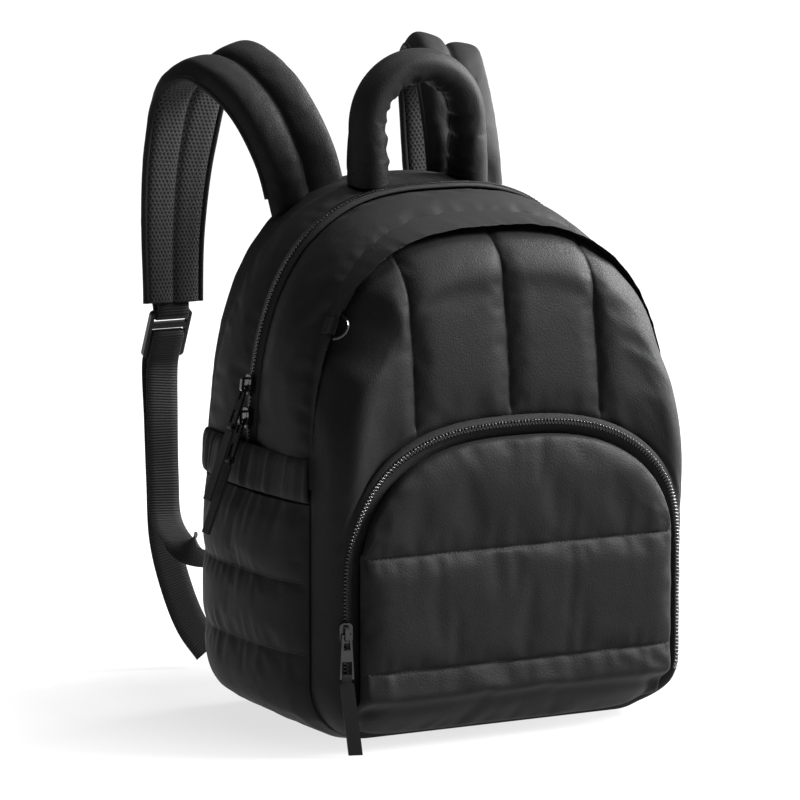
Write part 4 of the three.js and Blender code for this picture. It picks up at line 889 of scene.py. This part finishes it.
def hole_group():
    sizes = {"Along": 0.0, "Across": 0.0, "Pitch": 0.0033}
    tree, start, end = new_group("staggered_holes", sizes, ["Hole"])
    row_pitch = maths(tree, "MULTIPLY", start.outputs["Pitch"], 0.866)
    u = maths(tree, "DIVIDE", start.outputs["Along"], row_pitch)
    v = maths(tree, "DIVIDE", start.outputs["Across"], start.outputs["Pitch"])
    row = maths(tree, "FLOOR", u)
    shift = maths(tree, "MULTIPLY", maths(tree, "MODULO", row, 2.0), 0.5)
    du = maths(tree, "SUBTRACT", maths(tree, "FRACT", u), 0.5)
    dv = maths(tree, "SUBTRACT", maths(tree, "FRACT", maths(tree, "ADD", v, shift)), 0.5)
    squares = [maths(tree, "MULTIPLY", part, part) for part in (du, dv)]
    far = maths(tree, "SQRT", maths(tree, "ADD", *squares))
    edge = add_node(tree, "ShaderNodeMapRange", {"Value": far, "From Min": 0.22, "From Max": 0.38,
                                                 "To Min": 1.0, "To Max": 0.0})
    tree.links.new(edge.outputs["Result"], end.inputs["Hole"])
    return tree


GRAIN, CREASE, RIBS, HOLES = grain_group(), crease_group(), rib_group(), hole_group()
print("shared effects:", [tree.name for tree in (GRAIN, CREASE, RIBS, HOLES)])

# %% [markdown]
# The shell is matte black nylon. Its grain breaks up the light, and broad soft creases lie on the
# filled channels. Black cloth under strong light needs a very dark colour and weak gloss. Zipper
# tape and webbing are ribbed, with painted shade in their rib valleys, and the mesh has rows of
# holes that are painted darker inside as painted shade.

# %% Materials


def place_group(tree, group, **values):
    return add_node(tree, "ShaderNodeGroup", values, node_tree=group)


def bump(tree, height, strength, distance, normal=None):
    inputs = {"Height": height, "Strength": strength, "Distance": distance}
    if normal is not None:
        inputs["Normal"] = normal
    return add_node(tree, "ShaderNodeBump", inputs).outputs["Normal"]


def blend_colours(tree, share, dark, bright):
    inputs = {0: share, 6: (*dark, 1), 7: (*bright, 1)}
    return add_node(tree, "ShaderNodeMix", inputs, data_type="RGBA").outputs[2]


def start_material(name, roughness, sheen, specular, metallic=0.0, coat=0.0):
    """A material with its nodes, its shader and its texture coordinates."""
    material = bpy.data.materials.new(name)
    material.use_nodes = True
    tree = material.node_tree
    shader = tree.nodes["Principled BSDF"]
    settings = {"Roughness": roughness, "Sheen Weight": sheen, "Sheen Roughness": 0.45,
                "Specular IOR Level": specular, "Metallic": metallic, "Coat Weight": coat}
    for label, value in settings.items():
        shader.inputs[label].default_value = value
    return material, tree, shader, tree.nodes.new("ShaderNodeTexCoord")


def rough_from(tree, shader, value, low_end, high_end):
    item = add_node(tree, "ShaderNodeMapRange", {"Value": value, "To Min": low_end, "To Max": high_end})
    tree.links.new(item.outputs["Result"], shader.inputs["Roughness"])


def cloth_material(name, dark, bright, roughness, sheen, crease_size, crease_depth, specular=0.11):
    material, tree, shader, where = start_material(name, roughness, sheen, specular)
    grain = place_group(tree, GRAIN, Vector=where.outputs["UV"], Fineness=750.0)
    crease = place_group(tree, CREASE, Vector=where.outputs["UV"], Size=crease_size)
    tree.links.new(blend_colours(tree, grain.outputs["Tone"], dark, bright), shader.inputs["Base Color"])
    rough_from(tree, shader, grain.outputs["Tone"], roughness - 0.07, roughness + 0.09)
    normal = bump(tree, crease.outputs["Height"], 0.5, crease_depth)
    normal = bump(tree, grain.outputs["Height"], 0.6, 0.0005, normal)
    tree.links.new(normal, shader.inputs["Normal"])
    return material


def ribbed_material(name, dark, bright, roughness, pitch, slant, depth):
    material, tree, shader, where = start_material(name, roughness, 0.02, 0.14)
    parts = tree.nodes.new("ShaderNodeSeparateXYZ")
    tree.links.new(where.outputs["UV"], parts.inputs[0])
    ribs = place_group(tree, RIBS, Along=parts.outputs[0], Across=parts.outputs[1],
                       Pitch=pitch, Slant=slant)
    grain = place_group(tree, GRAIN, Vector=where.outputs["UV"], Fineness=1400.0)
    # Rib valleys are painted darker and rib crests lighter: painted shade in the grooves, on top of the
    # random grain.
    grain_and_rib_shade = maths(tree, "MULTIPLY", ribs.outputs["Height"], grain.outputs["Tone"])
    tree.links.new(blend_colours(tree, grain_and_rib_shade, dark, bright), shader.inputs["Base Color"])
    normal = bump(tree, ribs.outputs["Height"], 0.7, depth)
    normal = bump(tree, grain.outputs["Height"], 0.3, 0.0003, normal)
    tree.links.new(normal, shader.inputs["Normal"])
    return material


def mesh_material(name):
    material, tree, shader, where = start_material(name, 0.7, 0.03, 0.2)
    parts = tree.nodes.new("ShaderNodeSeparateXYZ")
    tree.links.new(where.outputs["UV"], parts.inputs[0])
    holes = place_group(tree, HOLES, Along=parts.outputs[0], Across=parts.outputs[1], Pitch=0.0033)
    # The holes are painted much darker than the threads: painted shade inside the holes.
    colour = blend_colours(tree, holes.outputs["Hole"], (0.022, 0.022, 0.023), (0.0015, 0.0015, 0.0015))
    tree.links.new(colour, shader.inputs["Base Color"])
    inverted = maths(tree, "SUBTRACT", 1.0, holes.outputs["Hole"])
    tree.links.new(bump(tree, inverted, 0.9, 0.0012), shader.inputs["Normal"])
    return material


def hard_material(name, dark, bright, roughness, metallic, coat, scale):
    material, tree, shader, where = start_material(name, roughness, 0.0, 0.32, metallic, coat)
    grain = place_group(tree, GRAIN, Vector=where.outputs["Object"], Fineness=scale)
    tree.links.new(blend_colours(tree, grain.outputs["Tone"], dark, bright), shader.inputs["Base Color"])
    rough_from(tree, shader, grain.outputs["Tone"], roughness - 0.06, roughness + 0.08)
    tree.links.new(bump(tree, grain.outputs["Height"], 0.12, 0.0001), shader.inputs["Normal"])
    return material


def grey(value, cool=0.0):
    return value, value, value + cool


NYLON = cloth_material("matte_nylon", grey(0.0028, 0.0002), grey(0.0092, 0.0005), 0.6, 0.01, 34.0, 0.0014)
STRAP_NYLON = cloth_material("strap_nylon", grey(0.002, 0.0002), grey(0.0058, 0.0004),
                             0.6, 0.01, 40.0, 0.001)
TAPE = ribbed_material("herringbone_tape", grey(0.005), grey(0.018), 0.7, 0.0012, 1.0, 0.0002)
WEBBING = ribbed_material("woven_webbing", grey(0.005), grey(0.02), 0.62, 0.002, 0.0, 0.0003)
SPACER = mesh_material("spacer_mesh")
PLASTIC = hard_material("satin_plastic", grey(0.006), grey(0.012), 0.36, 0.0, 0.0, 500.0)
METAL = hard_material("black_metal", grey(0.012, 0.001), grey(0.03, 0.001), 0.27, 0.85, 0.5, 300.0)
COIL = hard_material("coil_plastic", grey(0.004), grey(0.012), 0.22, 0.0, 0.4, 900.0)
THREAD = hard_material("thread", grey(0.008), grey(0.02), 0.5, 0.0, 0.0, 2500.0)
print("materials:", len(bpy.data.materials))

# %% [markdown]
# Each filled sheet gets its back and its finish, and takes the place of its solid.

# %% Close the filled panels


def dress(piece, material, *nodes, body="bag", slot=None):
    piece.data.materials.clear()
    piece.data.materials.append(material)
    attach(piece, body)
    if nodes:
        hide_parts(*nodes)


def smoothed(piece, levels=1):
    modifier = piece.modifiers.new("soft", "SUBSURF")
    modifier.levels = modifier.render_levels = levels
    modifier.boundary_smooth = "PRESERVE_CORNERS"


def filled_piece(name, node, inner, material):
    """Closes a filled sheet with the grid `inner` behind it, in place of its solid."""
    piece = closed_sheet(name, LINEN[node]["filled"], inner)
    smoothed(piece)
    dress(piece, material, node)


front_back = LINEN["front_panel"]["grid"].copy()
deepest = seam_depth("front", front_back[..., 2]) - GAP
front_back[..., 1] = np.minimum(front_back[..., 1] + PADDED_WALL, deepest)
back_inner = LINEN["back_panel"]["grid"].copy()
back_inner[..., 1] = seam_depth("back", back_inner[..., 2]) + 2 * GAP
for end, seam in (("rear", "back"), ("front", "front")):
    sheet = LINEN["gusset_" + end]
    share = np.linspace(0, 1, sheet["grid"].shape[1])
    wall = mix(0.3, PADDED_WALL, dome(np.minimum(share, 1 - share), 0.4))
    inner = sheet["grid"] - sheet["normal"] * wall[None, :, None]
    bounds_y = np.stack([sheet["grid"][0, :, 1], sheet["grid"][-1, :, 1]])
    inner[..., 1] = clamp(inner[..., 1], bounds_y.min(axis=0), bounds_y.max(axis=0))
    filled_piece("gusset_cloth_" + end, "gusset_" + end, inner, NYLON)
filled_piece("front_cloth", "front_panel", front_back, NYLON)
filled_piece("pocket_cloth", "pocket_panel", pocket_back, NYLON)
filled_piece("back_cloth", "back_panel", back_inner, NYLON)
for suffix in ("left", "right"):
    sheet = LINEN["side_pocket_" + suffix]
    inner = sheet["grid"] - sheet["normal"] * SIDE_WALL
    filled_piece("side_pocket_cloth_" + suffix, "side_pocket_" + suffix, inner, NYLON)
    frame_rows = strap_frames[suffix]
    a = np.repeat(np.linspace(-0.5, 0.5, STRAP_COLUMNS)[None], STRAP_ROWS, 0)
    under = strap_point(frame_rows, a, np.zeros_like(a))
    under[..., 1] = np.maximum(under[..., 1], back_face(under[..., 0], clamp(under[..., 2], 5, 376)) + GAP)
    filled_piece("strap_cloth_" + suffix, "shoulder_strap_" + suffix, under, STRAP_NYLON)
    a = np.repeat(np.linspace(-0.46, 0.46, 25)[None], STRAP_ROWS - 6, 0)
    rows = [part[6:] for part in frame_rows]
    top_side = strap_point(rows, a, np.full_like(a, -0.8))
    from_seam = np.minimum(np.abs(a), 0.46 - np.abs(a)) * rows[4][:, None]
    low_side = strap_point(rows, a, -1.8 - 3.0 * dome(from_seam, 9))
    spacer = closed_sheet("strap_spacer_" + suffix, low_side, top_side)
    dress(spacer, SPACER, "strap_mesh_" + suffix)
    for edge in (-1, 1):
        turn = np.linspace(0, 2 * np.pi, 10, endpoint=False)[None]
        a = edge * 0.485 + 2.4 * np.cos(turn) / rows[4][:, None]
        height = -1.4 + 2.4 * np.sin(turn) + 0 * a
        roll = closed_sweep(f"strap_piping_{suffix}_{edge}", strap_point(rows, a, height))
        dress(roll, STRAP_NYLON, slot="nylon")

tube = LINEN["grab_handle"]["filled"]
core = mix(handle_centre[:, None], LINEN["grab_handle"]["grid"], 0.8)
for end in (0, -1):
    core[end] = LINEN["grab_handle"]["grid"][end]
core[[0, -1], ..., 2] = top_surface(core[[0, -1], ..., 0], core[[0, -1], ..., 1]) + GAP
handle_cloth = closed_sheet("handle_cloth", tube, core)
smoothed(handle_cloth)
dress(handle_cloth, NYLON, "grab_handle")

base_inner = base_grid - outward_normals(base_grid, MIDDLE) * PADDED_WALL
base_inner[..., 1] = clamp(base_inner[..., 1], base_grid[:, :1, 1] + GAP, base_grid[:, -1:, 1] - GAP)
base_inner[..., 2] = np.minimum(base_inner[..., 2], SPRING - GAP)
base_cloth = closed_sheet("base_cloth", base_grid, base_inner)
dress(base_cloth, NYLON, "base_panel")
print("filled pieces:", len(LINEN) + 1)

# %% [markdown]
# An elastic runs in the band at each side pocket's mouth. It draws the cloth into upright folds of
# uneven width, which die out at the two hem lines.

# %% Bands of the side pockets


def band_grid(side, lift, seed, columns=300, rows=22):
    share = np.linspace(0, 1, columns)
    height = np.linspace(0, 1, rows)[:, None]
    station = mix(-0.985, 0.985, share)[None]
    z = mix(BAND_FOOT, BAND_TOP, height) + 0 * station
    widths = {}
    for name, row in SEAMS.items():
        over = clamp((z - SPRING) / (row["top"] * HEIGHT - SPRING), 0, 1)
        widths[name] = row["half"] * HALF * (1 - over ** row["round"]) ** (1 / row["round"])
    width = station_mix(station, widths)
    arch = np.maximum(np.sin(np.pi * share), 0)[None]
    clear = 4.6 * arch ** 0.5
    opening = mix(4.5, 1.5, height) * arch ** 0.8
    run = 165.0 * share[None] + 5.0 * height
    folds = wander(run, 5.5, seed) + 0.45 * wander(run + 3.0 * height, 3.2, seed + 1)
    folds = folds + 0.3 * wander(run, 14.0, seed + 2)
    held = mix(0.45, 1.0, dome(np.minimum(height, 1 - height), 0.3))
    depth = (folds * 1.7 + 1.0) * arch ** 0.3 * held + 2.2 * dome(np.minimum(height, 1 - height), 0.3) - 1.2
    y = station_mix(station, {name: seam_depth(name, z) for name in SEAMS})
    return np.stack([side * (width + GAP + clear + opening + np.maximum(depth, -0.6) + lift), y, z], -1)


for side, suffix, seed in ((-1, "left", 31), (1, "right", 41)):
    outer, inner = band_grid(side, 3.0, seed), band_grid(side, 0.6, seed)
    band = closed_sheet("band_cloth_" + suffix, outer, inner)
    smoothed(band)
    dress(band, NYLON, "side_band_" + suffix)
print("bands gathered")

# %% [markdown]
# Zipper teeth, stitches and the like repeat along a path. One Geometry Nodes tree does them all:
# it puts a small rounded bead on each point, turned by the path's direction and the cloth's
# outward direction, which the points carry as attributes.

# %% Beads along a path


def bead_tree():
    tree = bpy.data.node_groups.new("beads_on_path", "GeometryNodeTree")
    sockets = [("Geometry", "NodeSocketGeometry", None), ("Length", "NodeSocketFloat", 0.0026),
               ("Width", "NodeSocketFloat", 0.0008), ("Height", "NodeSocketFloat", 0.0006),
               ("Tilt", "NodeSocketFloat", 0.0), ("Finish", "NodeSocketMaterial", None)]
    for label, kind, value in sockets:
        socket = tree.interface.new_socket(label, in_out="INPUT", socket_type=kind)
        if value is not None:
            socket.default_value = value
    tree.interface.new_socket("Geometry", in_out="OUTPUT", socket_type="NodeSocketGeometry")
    start, end = tree.nodes.new("NodeGroupInput"), tree.nodes.new("NodeGroupOutput")

    def vector_attribute(label):
        return add_node(tree, "GeometryNodeInputNamedAttribute", {"Name": label},
                        data_type="FLOAT_VECTOR").outputs["Attribute"]

    bead = add_node(tree, "GeometryNodeMeshUVSphere", {"Segments": 8, "Rings": 5, "Radius": 0.5})
    lengths = [start.outputs[label] for label in ("Length", "Width", "Height")]
    size = add_node(tree, "ShaderNodeCombineXYZ", enumerate(lengths))
    axes = {"Primary Axis": vector_attribute("along"), "Secondary Axis": vector_attribute("off")}
    frame_of = add_node(tree, "FunctionNodeAxesToRotation", axes, primary_axis="X", secondary_axis="Z")
    index = tree.nodes.new("GeometryNodeInputIndex")
    parity = maths(tree, "MODULO", index.outputs[0], 2.0)
    sign = maths(tree, "MULTIPLY_ADD", parity, 2.0, -1.0)
    turn = add_node(tree, "ShaderNodeCombineXYZ", {2: maths(tree, "MULTIPLY", sign, start.outputs["Tilt"])})
    as_turn = add_node(tree, "FunctionNodeEulerToRotation", {0: turn.outputs[0]})
    turned = add_node(tree, "FunctionNodeRotateRotation", {0: frame_of.outputs[0], 1: as_turn.outputs[0]},
                      rotation_space="LOCAL")
    copies = add_node(tree, "GeometryNodeInstanceOnPoints", {
        "Points": start.outputs["Geometry"], "Instance": bead.outputs["Mesh"],
        "Rotation": turned.outputs[0], "Scale": size.outputs[0]})
    real = add_node(tree, "GeometryNodeRealizeInstances", {"Geometry": copies.outputs["Instances"]})
    smooth = add_node(tree, "GeometryNodeSetShadeSmooth", {"Geometry": real.outputs["Geometry"]})
    painted = add_node(tree, "GeometryNodeSetMaterial", {"Geometry": smooth.outputs["Geometry"],
                                                         "Material": start.outputs["Finish"]})
    tree.links.new(painted.outputs["Geometry"], end.inputs["Geometry"])
    return tree


BEADS = bead_tree()


def beads(name, points, along, off, size, tilt, material, body="bag"):
    carrier = mesh_object(name, points, [])
    for label, vectors in (("along", along), ("off", off)):
        layer = carrier.data.attributes.new(label, "FLOAT_VECTOR", "POINT")
        layer.data.foreach_set("vector", np.ascontiguousarray(vectors, dtype=np.float32).ravel())
    modifier = carrier.modifiers.new("beads", "NODES")
    modifier.node_group = BEADS
    sockets = {item.name: item.identifier for item in BEADS.interface.items_tree if item.in_out == "INPUT"}
    for label, value in zip(("Length", "Width", "Height"), size):
        modifier[sockets[label]] = value / 1000
    modifier[sockets["Tilt"]] = math.radians(tilt)
    modifier[sockets["Finish"]] = material
    depsgraph = bpy.context.evaluated_depsgraph_get()
    mesh = bpy.data.meshes.new_from_object(carrier.evaluated_get(depsgraph))
    piece = bpy.data.objects.new(name, mesh)
    bpy.context.scene.collection.objects.link(piece)
    bpy.data.objects.remove(carrier, do_unlink=True)
    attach(piece, body)


def even_path(points, pitch):
    points = np.asarray(points, float)
    length = np.append(0, np.cumsum(np.linalg.norm(np.diff(points, axis=0), axis=1)))
    count = max(int(length[-1] / pitch), 2)
    at = (np.arange(count) + 0.5) * length[-1] / count
    return np.stack([np.interp(at, length, points[:, k]) for k in range(3)], 1), at, length


def along_path(name, points, off, pitch, size, tilt, material, lift=0.0, turned=False, body="bag"):
    """Beads at an even pitch; turned ones lie across the path."""
    spots, at, length = even_path(points, pitch)
    off = unit(np.stack([np.interp(at, length, np.asarray(off)[:, k]) for k in range(3)], 1))
    along = unit(np.gradient(spots, axis=0))
    off = unit(off - along * np.sum(off * along, 1, keepdims=True))
    direction = np.cross(along, off) if turned else along
    beads(name, spots + off * lift, direction, off, size, tilt, material, body)


STITCH = (2.7, 0.75, 0.6)


def stitch_line(name, sheet_name, row=None, column=None, lift=0.15, trim=2):
    sheet = LINEN[sheet_name]
    pick = (slice(trim, -trim), column) if row is None else (row, slice(trim, -trim))
    along_path(name, sheet["filled"][pick], sheet["normal"][pick], 3.5, STITCH, 0, THREAD, lift)


for k, seam in enumerate(CHANNELS):
    sheet = LINEN["front_panel"]
    line = int(np.argmin(np.abs(sheet["grid"][:, 0, 0] - seam)))
    measure = pocket_measure(sheet["grid"][line, :, 0], sheet["grid"][line, :, 2])
    spots = line, np.flatnonzero(measure > 1.08)[:-1]
    along_path(f"channel_stitches_{k}", sheet["filled"][spots], sheet["normal"][spots], 3.5, STITCH, 0,
               THREAD, 0.15)
for k, column in enumerate(seam_rows):
    stitch_line(f"pocket_stitches_{k}", "pocket_panel", column=column)
place = np.linspace(0, len(POCKET_ROWS) - 1, LINEN["side_pocket_left"]["grid"].shape[0])
for suffix in ("left", "right"):
    for mark in (3, 6):
        row = int(np.argmin(np.abs(place - mark)))
        stitch_line(f"side_stitches_{suffix}_{mark}", "side_pocket_" + suffix, row=row)
    stitch_line("strap_stitches_" + suffix, "shoulder_strap_" + suffix, column=STRAP_COLUMNS // 2, trim=4)
print("stitched")

# %% [markdown]
# Both zippers are coil zippers: a woven tape with a nylon spiral sewn along its middle. The tape
# is swept along the zipper line, and the spiral is a row of beads that lean left and right in turn.

# %% Zipper tapes and coils
TOOTH = (5.4, 1.25, 1.9)
TOOTH_PITCH = 1.3


def tape_profile(half, top):
    hump = [(3.4, top), (2.6, top + 0.9), (0, top + 1.2), (-2.6, top + 0.9), (-3.4, top)]
    return np.array([(half, 0), (half, top), *hump, (-half, top), (-half, 0)])


angle = np.linspace(np.pi - GAP / SPRING, GAP / SPRING, 320)
path = arch_point("zipper", angle)
path = path + 1.2 * np.stack([np.cos(angle), 0 * angle, np.sin(angle)], 1)
along = unit(np.gradient(path, axis=0))
level_across = np.repeat(np.array([[0.0, 1.0, 0.0]]), len(path), 0)
off = unit(np.cross(level_across, along))
off *= np.sign(np.sum(off * (path - np.array(MIDDLE)), 1, keepdims=True))
profile = tape_profile(TAPE_HALF, TAPE_THICK)
rings = (path[:, None] - off[:, None] * TAPE_THICK + level_across[:, None] * profile[None, :, :1]
         + off[:, None] * profile[None, :, 1:])
main_tape = closed_sweep("main_tape", rings)
dress(main_tape, TAPE, "main_zipper")
along_path("main_coil", path, off, TOOTH_PITCH, TOOTH, 16, COIL, lift=1.4, turned=True)


def pocket_line():
    shoulder, k = POCKET["shoulder"], POCKET["round"]
    z = mix(34.0, shoulder, np.linspace(0, 1, 40)[:-1])
    follow = inset_of("front", np.full_like(z, POCKET["half"]), z)
    x = POCKET["half"] - np.maximum(0, HALF - POCKET["half"] - follow)
    turn = np.linspace(np.pi, 0, 240)
    up = np.sin(turn) / (POCKET["height"] - shoulder)
    radius = ((np.abs(np.cos(turn)) / POCKET["half"]) ** k + np.maximum(up, 0) ** k) ** (-1 / k)
    arch = np.stack([radius * np.cos(turn), shoulder + radius * np.sin(turn)], 1)
    return np.concatenate([np.stack([-x, z], 1), arch, np.stack([x, z], 1)[::-1]])


line, _, _ = even_path(np.column_stack([pocket_line(), np.zeros(318)]), 1.6)
line = line[:, :2]
direction = unit(np.gradient(line, axis=0))
inside = np.stack([direction[:, 1], -direction[:, 0]], 1)
POCKET_TAPE = ((-5.0, -3.2), (-5.2, 1.2), (-3.3, 1.7), (-2.5, 2.8), (0, 3.2), (2.5, 2.8), (3.3, 1.6),
               (11.0, 0.9), (11.0, -0.5))
rings = []
for reach, height in POCKET_TAPE:
    at = line + inside * reach
    base_line = tape_depth(at[:, 0], at[:, 1]) if reach < 3 else tape_depth(line[:, 0], line[:, 1])
    rings.append(np.stack([at[:, 0], base_line - height, at[:, 1]], 1))
pocket_tape = closed_sweep("pocket_tape", np.stack(rings, 1))
dress(pocket_tape, TAPE, "pocket_zipper")
coil_path = np.stack([line[:, 0], tape_depth(line[:, 0], line[:, 1]) - 2.7, line[:, 1]], 1)
facing = np.repeat(np.array([[0.0, -1.0, 0.0]]), len(line), 0)
along_path("pocket_coil", coil_path, facing, TOOTH_PITCH, TOOTH, 16, COIL, lift=0.3, turned=True)
print("zippers done")

# %% [markdown]
# Webbing is a thick flat weave with fine cross ribs, so the ribs are in the mesh: each row of the
# sweep is a little thicker or thinner than the next. The route is the real one, through the buckle.

# %% Webbing
WEB_WIDTH, WEB_THICK, RIB_PITCH = 25.0, 1.6, 2.0
LOCK = {"width": 33.0, "length": 39.0, "thick": 4.0, "bar": 4.0, "slot": 6.0, "drop": 24.0}
RUNNING = 0.5
TAIL = ((80, 196, 13), (93, 198, 32), (104, 200, 60), (112, 203.5, 97), (113, 206, 140), (113, 209, 185))
STRAND = ((114, 202, 185), (115, 199, 145), (117, 191, 115), (118, 168, 102), (118.5, 143, 100),
          (119, 115, 100))


def ribbon(name, marks, turns, hold_end=False, step=0.5):
    points, place = smooth_path(marks, 60)
    length = np.linalg.norm(np.diff(points, axis=0), axis=1).sum()
    centre, place, at = resample(points, place, int(length / step))
    along = unit(np.gradient(centre, axis=0))
    level_line = np.array([[1.0, 0, 0]]) - along * along[:, :1]
    level_line = unit(level_line)
    upright = np.cross(level_line, along)
    angle = np.radians(np.interp(place, np.arange(len(turns)), turns))[:, None]
    across = level_line * np.cos(angle) + upright * np.sin(angle)
    off = np.cross(across, along)
    half, thick = WEB_WIDTH / 2, WEB_THICK / 2
    outline = [(-half, 0.4), (-half + 0.5, 0.95), (-half / 2, 1.0), (0, 1.0), (half / 2, 1.0),
               (half - 0.5, 0.95), (half, 0.4)]
    outline += [(x, -y) for x, y in outline[::-1]]
    outline = np.array(outline)
    rib = 1 - 0.22 * (0.5 + 0.5 * np.cos(2 * np.pi * at / RIB_PITCH))
    rings = (centre[:, None] + across[:, None] * outline[None, :, :1]
             + off[:, None] * (outline[None, :, 1] * thick * rib[:, None])[..., None])
    clear = back_face(rings[..., 0], clamp(rings[..., 2], 12, 370)) + GAP
    rings[..., 1] = np.where(rings[..., 2] < HEIGHT, np.maximum(rings[..., 1], clear), rings[..., 1])
    if hold_end:
        rings[-1, :, 1] = clear[-1]
    return closed_sweep(name, rings)


def harness(side, suffix):
    centre_row, _, off_row, along_row, _, _ = (part[-1] for part in strap_frames[suffix])
    down = unit(np.array([0, 0.43, -0.9]))
    across = np.array([1.0, 0, 0])
    off = np.cross(across, down)
    centre = centre_row + np.array([0, LOCK["drop"] * 0.42, -LOCK["drop"]])

    def on_lock(length, height):
        return centre + down * length + off * height

    def bend(middle, radius, start, end):
        return [on_lock(middle + radius * math.cos(math.radians(a)), radius * math.sin(math.radians(a)))
                for a in np.linspace(start, end, 5)]

    skin = WEB_THICK / 2 + RUNNING
    top_bar = (LOCK["bar"] - LOCK["length"]) / 2
    bar_radius = math.hypot(LOCK["bar"], LOCK["thick"]) / 2 + skin
    strap_end = centre_row + along_row * 1.5 * GAP
    upper, lower = strap_end + off_row * STRAP_THICK * 0.6, strap_end - off_row * WEB_THICK
    marks = [upper, *bend(top_bar, bar_radius, 90, -90), lower]
    loop = ribbon("strap_webbing_cloth_" + suffix, marks, [0] * len(marks))
    dress(loop, WEBBING, "strap_webbing_" + suffix)
    lip_edge = top_bar + LOCK["bar"] / 2 + 2 * LOCK["slot"] + LOCK["bar"]
    lip_radius = math.hypot(0.6, LOCK["thick"] / 2) + skin
    lip = LOCK["length"] / 2

    def spot(x, y, z):
        return np.array([side * x, y, z])

    anchor = spot(120, float(back_face(np.array(120.0), np.array(103.0))) + GAP, 103)
    marks = [*(spot(*place) for place in TAIL), on_lock(lip + 6, lip_radius + 1),
             on_lock(lip - 6, lip_radius), *bend(lip_edge + 0.6, lip_radius, 90, 270),
             on_lock(lip - 6, -lip_radius), on_lock(lip + 6, -lip_radius - 1),
             *(spot(*place) for place in STRAND), anchor]
    turns = [0] * (len(marks) - 3) + [side * 85, side * 150, side * 155]
    strand = ribbon("adjuster_cloth_" + suffix, marks, turns, hold_end=True)
    dress(strand, WEBBING, "adjuster_webbing_" + suffix)


for side, suffix in ((-1, "left"), (1, "right")):
    harness(side, suffix)
print("webbing threaded")

# %% [markdown]
# The buckles, sliders, pulls and the ring are small hard pieces whose solids are already right.
# They keep their shapes and get satin plastic, black metal and webbing.

# %% Finish the small solids
FINISHES = {
    "ladder_lock_left": PLASTIC, "ladder_lock_right": PLASTIC, "d_ring": METAL, "d_ring_tab": WEBBING,
    "pocket_slider": METAL, "upper_slider": METAL, "lower_slider": METAL, "pocket_pull": METAL,
    "upper_pull": METAL, "lower_pull": METAL, "pocket_pull_tab": WEBBING, "upper_pull_tab": WEBBING,
    "lower_pull_tab": WEBBING,
}
for node, material in FINISHES.items():
    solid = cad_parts[node]
    for slot in solid.material_slots:
        slot.material = material
print("solids finished:", len(FINISHES))

# %% [markdown]
# The bag stands on white paper. A large soft light from the upper right front gives the broad
# highlights, and the shade falls to the left. The paper glows a little, so that the background is
# white and the shade stays soft. Near the bag's foot, most to its left, it glows less: a painted shadow.

# %% Floor and lights
# The paper's emission is lowest near this centre and rises outwards: a painted shadow around the bag's
# foot.
PAINTED_SHADOW_CENTRE, PAINTED_SHADOW_RADII, GLOW_WITH_PAINTED_SHADOW = (-0.05, 0.03, 0), (0.1, 0.36), (0.72, 1.02)


def floor_material():
    material, tree, shader, where = start_material("white_paper", 0.9, 0.0, 0.0)
    shader.inputs["Base Color"].default_value = (0.13, 0.13, 0.13, 1)
    shader.inputs["Emission Color"].default_value = (1, 1, 1, 1)
    # Less emission close to the bag paints its shadow on the floor.
    away = add_node(tree, "ShaderNodeVectorMath", {0: where.outputs["Object"], 1: PAINTED_SHADOW_CENTRE},
                    operation="DISTANCE")
    glow_with_painted_shadow = add_node(tree, "ShaderNodeMapRange", interpolation_type="SMOOTHSTEP", inputs={
        "Value": away.outputs["Value"], "From Min": PAINTED_SHADOW_RADII[0], "From Max": PAINTED_SHADOW_RADII[1],
        "To Min": GLOW_WITH_PAINTED_SHADOW[0], "To Max": GLOW_WITH_PAINTED_SHADOW[1]})
    tree.links.new(glow_with_painted_shadow.outputs["Result"], shader.inputs["Emission Strength"])
    return material


def area_light(name, place, size, power, target=(0, 0, 0.2)):
    light = bpy.data.lights.new(name, "AREA")
    light.shape = "RECTANGLE"
    light.size, light.size_y = size
    light.energy = power
    lamp = bpy.data.objects.new(name, light)
    lamp.location = place
    lamp.rotation_euler = (Vector(target) - Vector(place)).to_track_quat("-Z", "Y").to_euler()
    bpy.context.scene.collection.objects.link(lamp)


floor_mesh = bpy.data.meshes.new("floor")
FLOOR_REACH = 12.0
corners = [(x * FLOOR_REACH, y * FLOOR_REACH, 0) for x, y in ((-1, -1), (1, -1), (1, 1), (-1, 1))]
floor_mesh.from_pydata(corners, [], [(0, 1, 2, 3)])
floor = bpy.data.objects.new("floor", floor_mesh)
floor_mesh.materials.append(floor_material())
bpy.context.scene.collection.objects.link(floor)
floor.location.z = -0.0005

world = bpy.data.worlds.new("studio")
bpy.context.scene.world = world
world.use_nodes = True
world.node_tree.nodes["Background"].inputs["Color"].default_value = (1, 1, 1, 1)
world.node_tree.nodes["Background"].inputs["Strength"].default_value = 0.08
area_light("key", (2.2, -1.1, 1.8), (1.1, 1.1), 320)
area_light("top", (0.3, 0.3, 2.4), (1.6, 1.6), 40)
area_light("rim", (2.0, 0.3, 1.1), (0.8, 1.6), 110)
bpy.context.scene.view_settings.view_transform = "Standard"
print("lights:", len(bpy.data.lights))
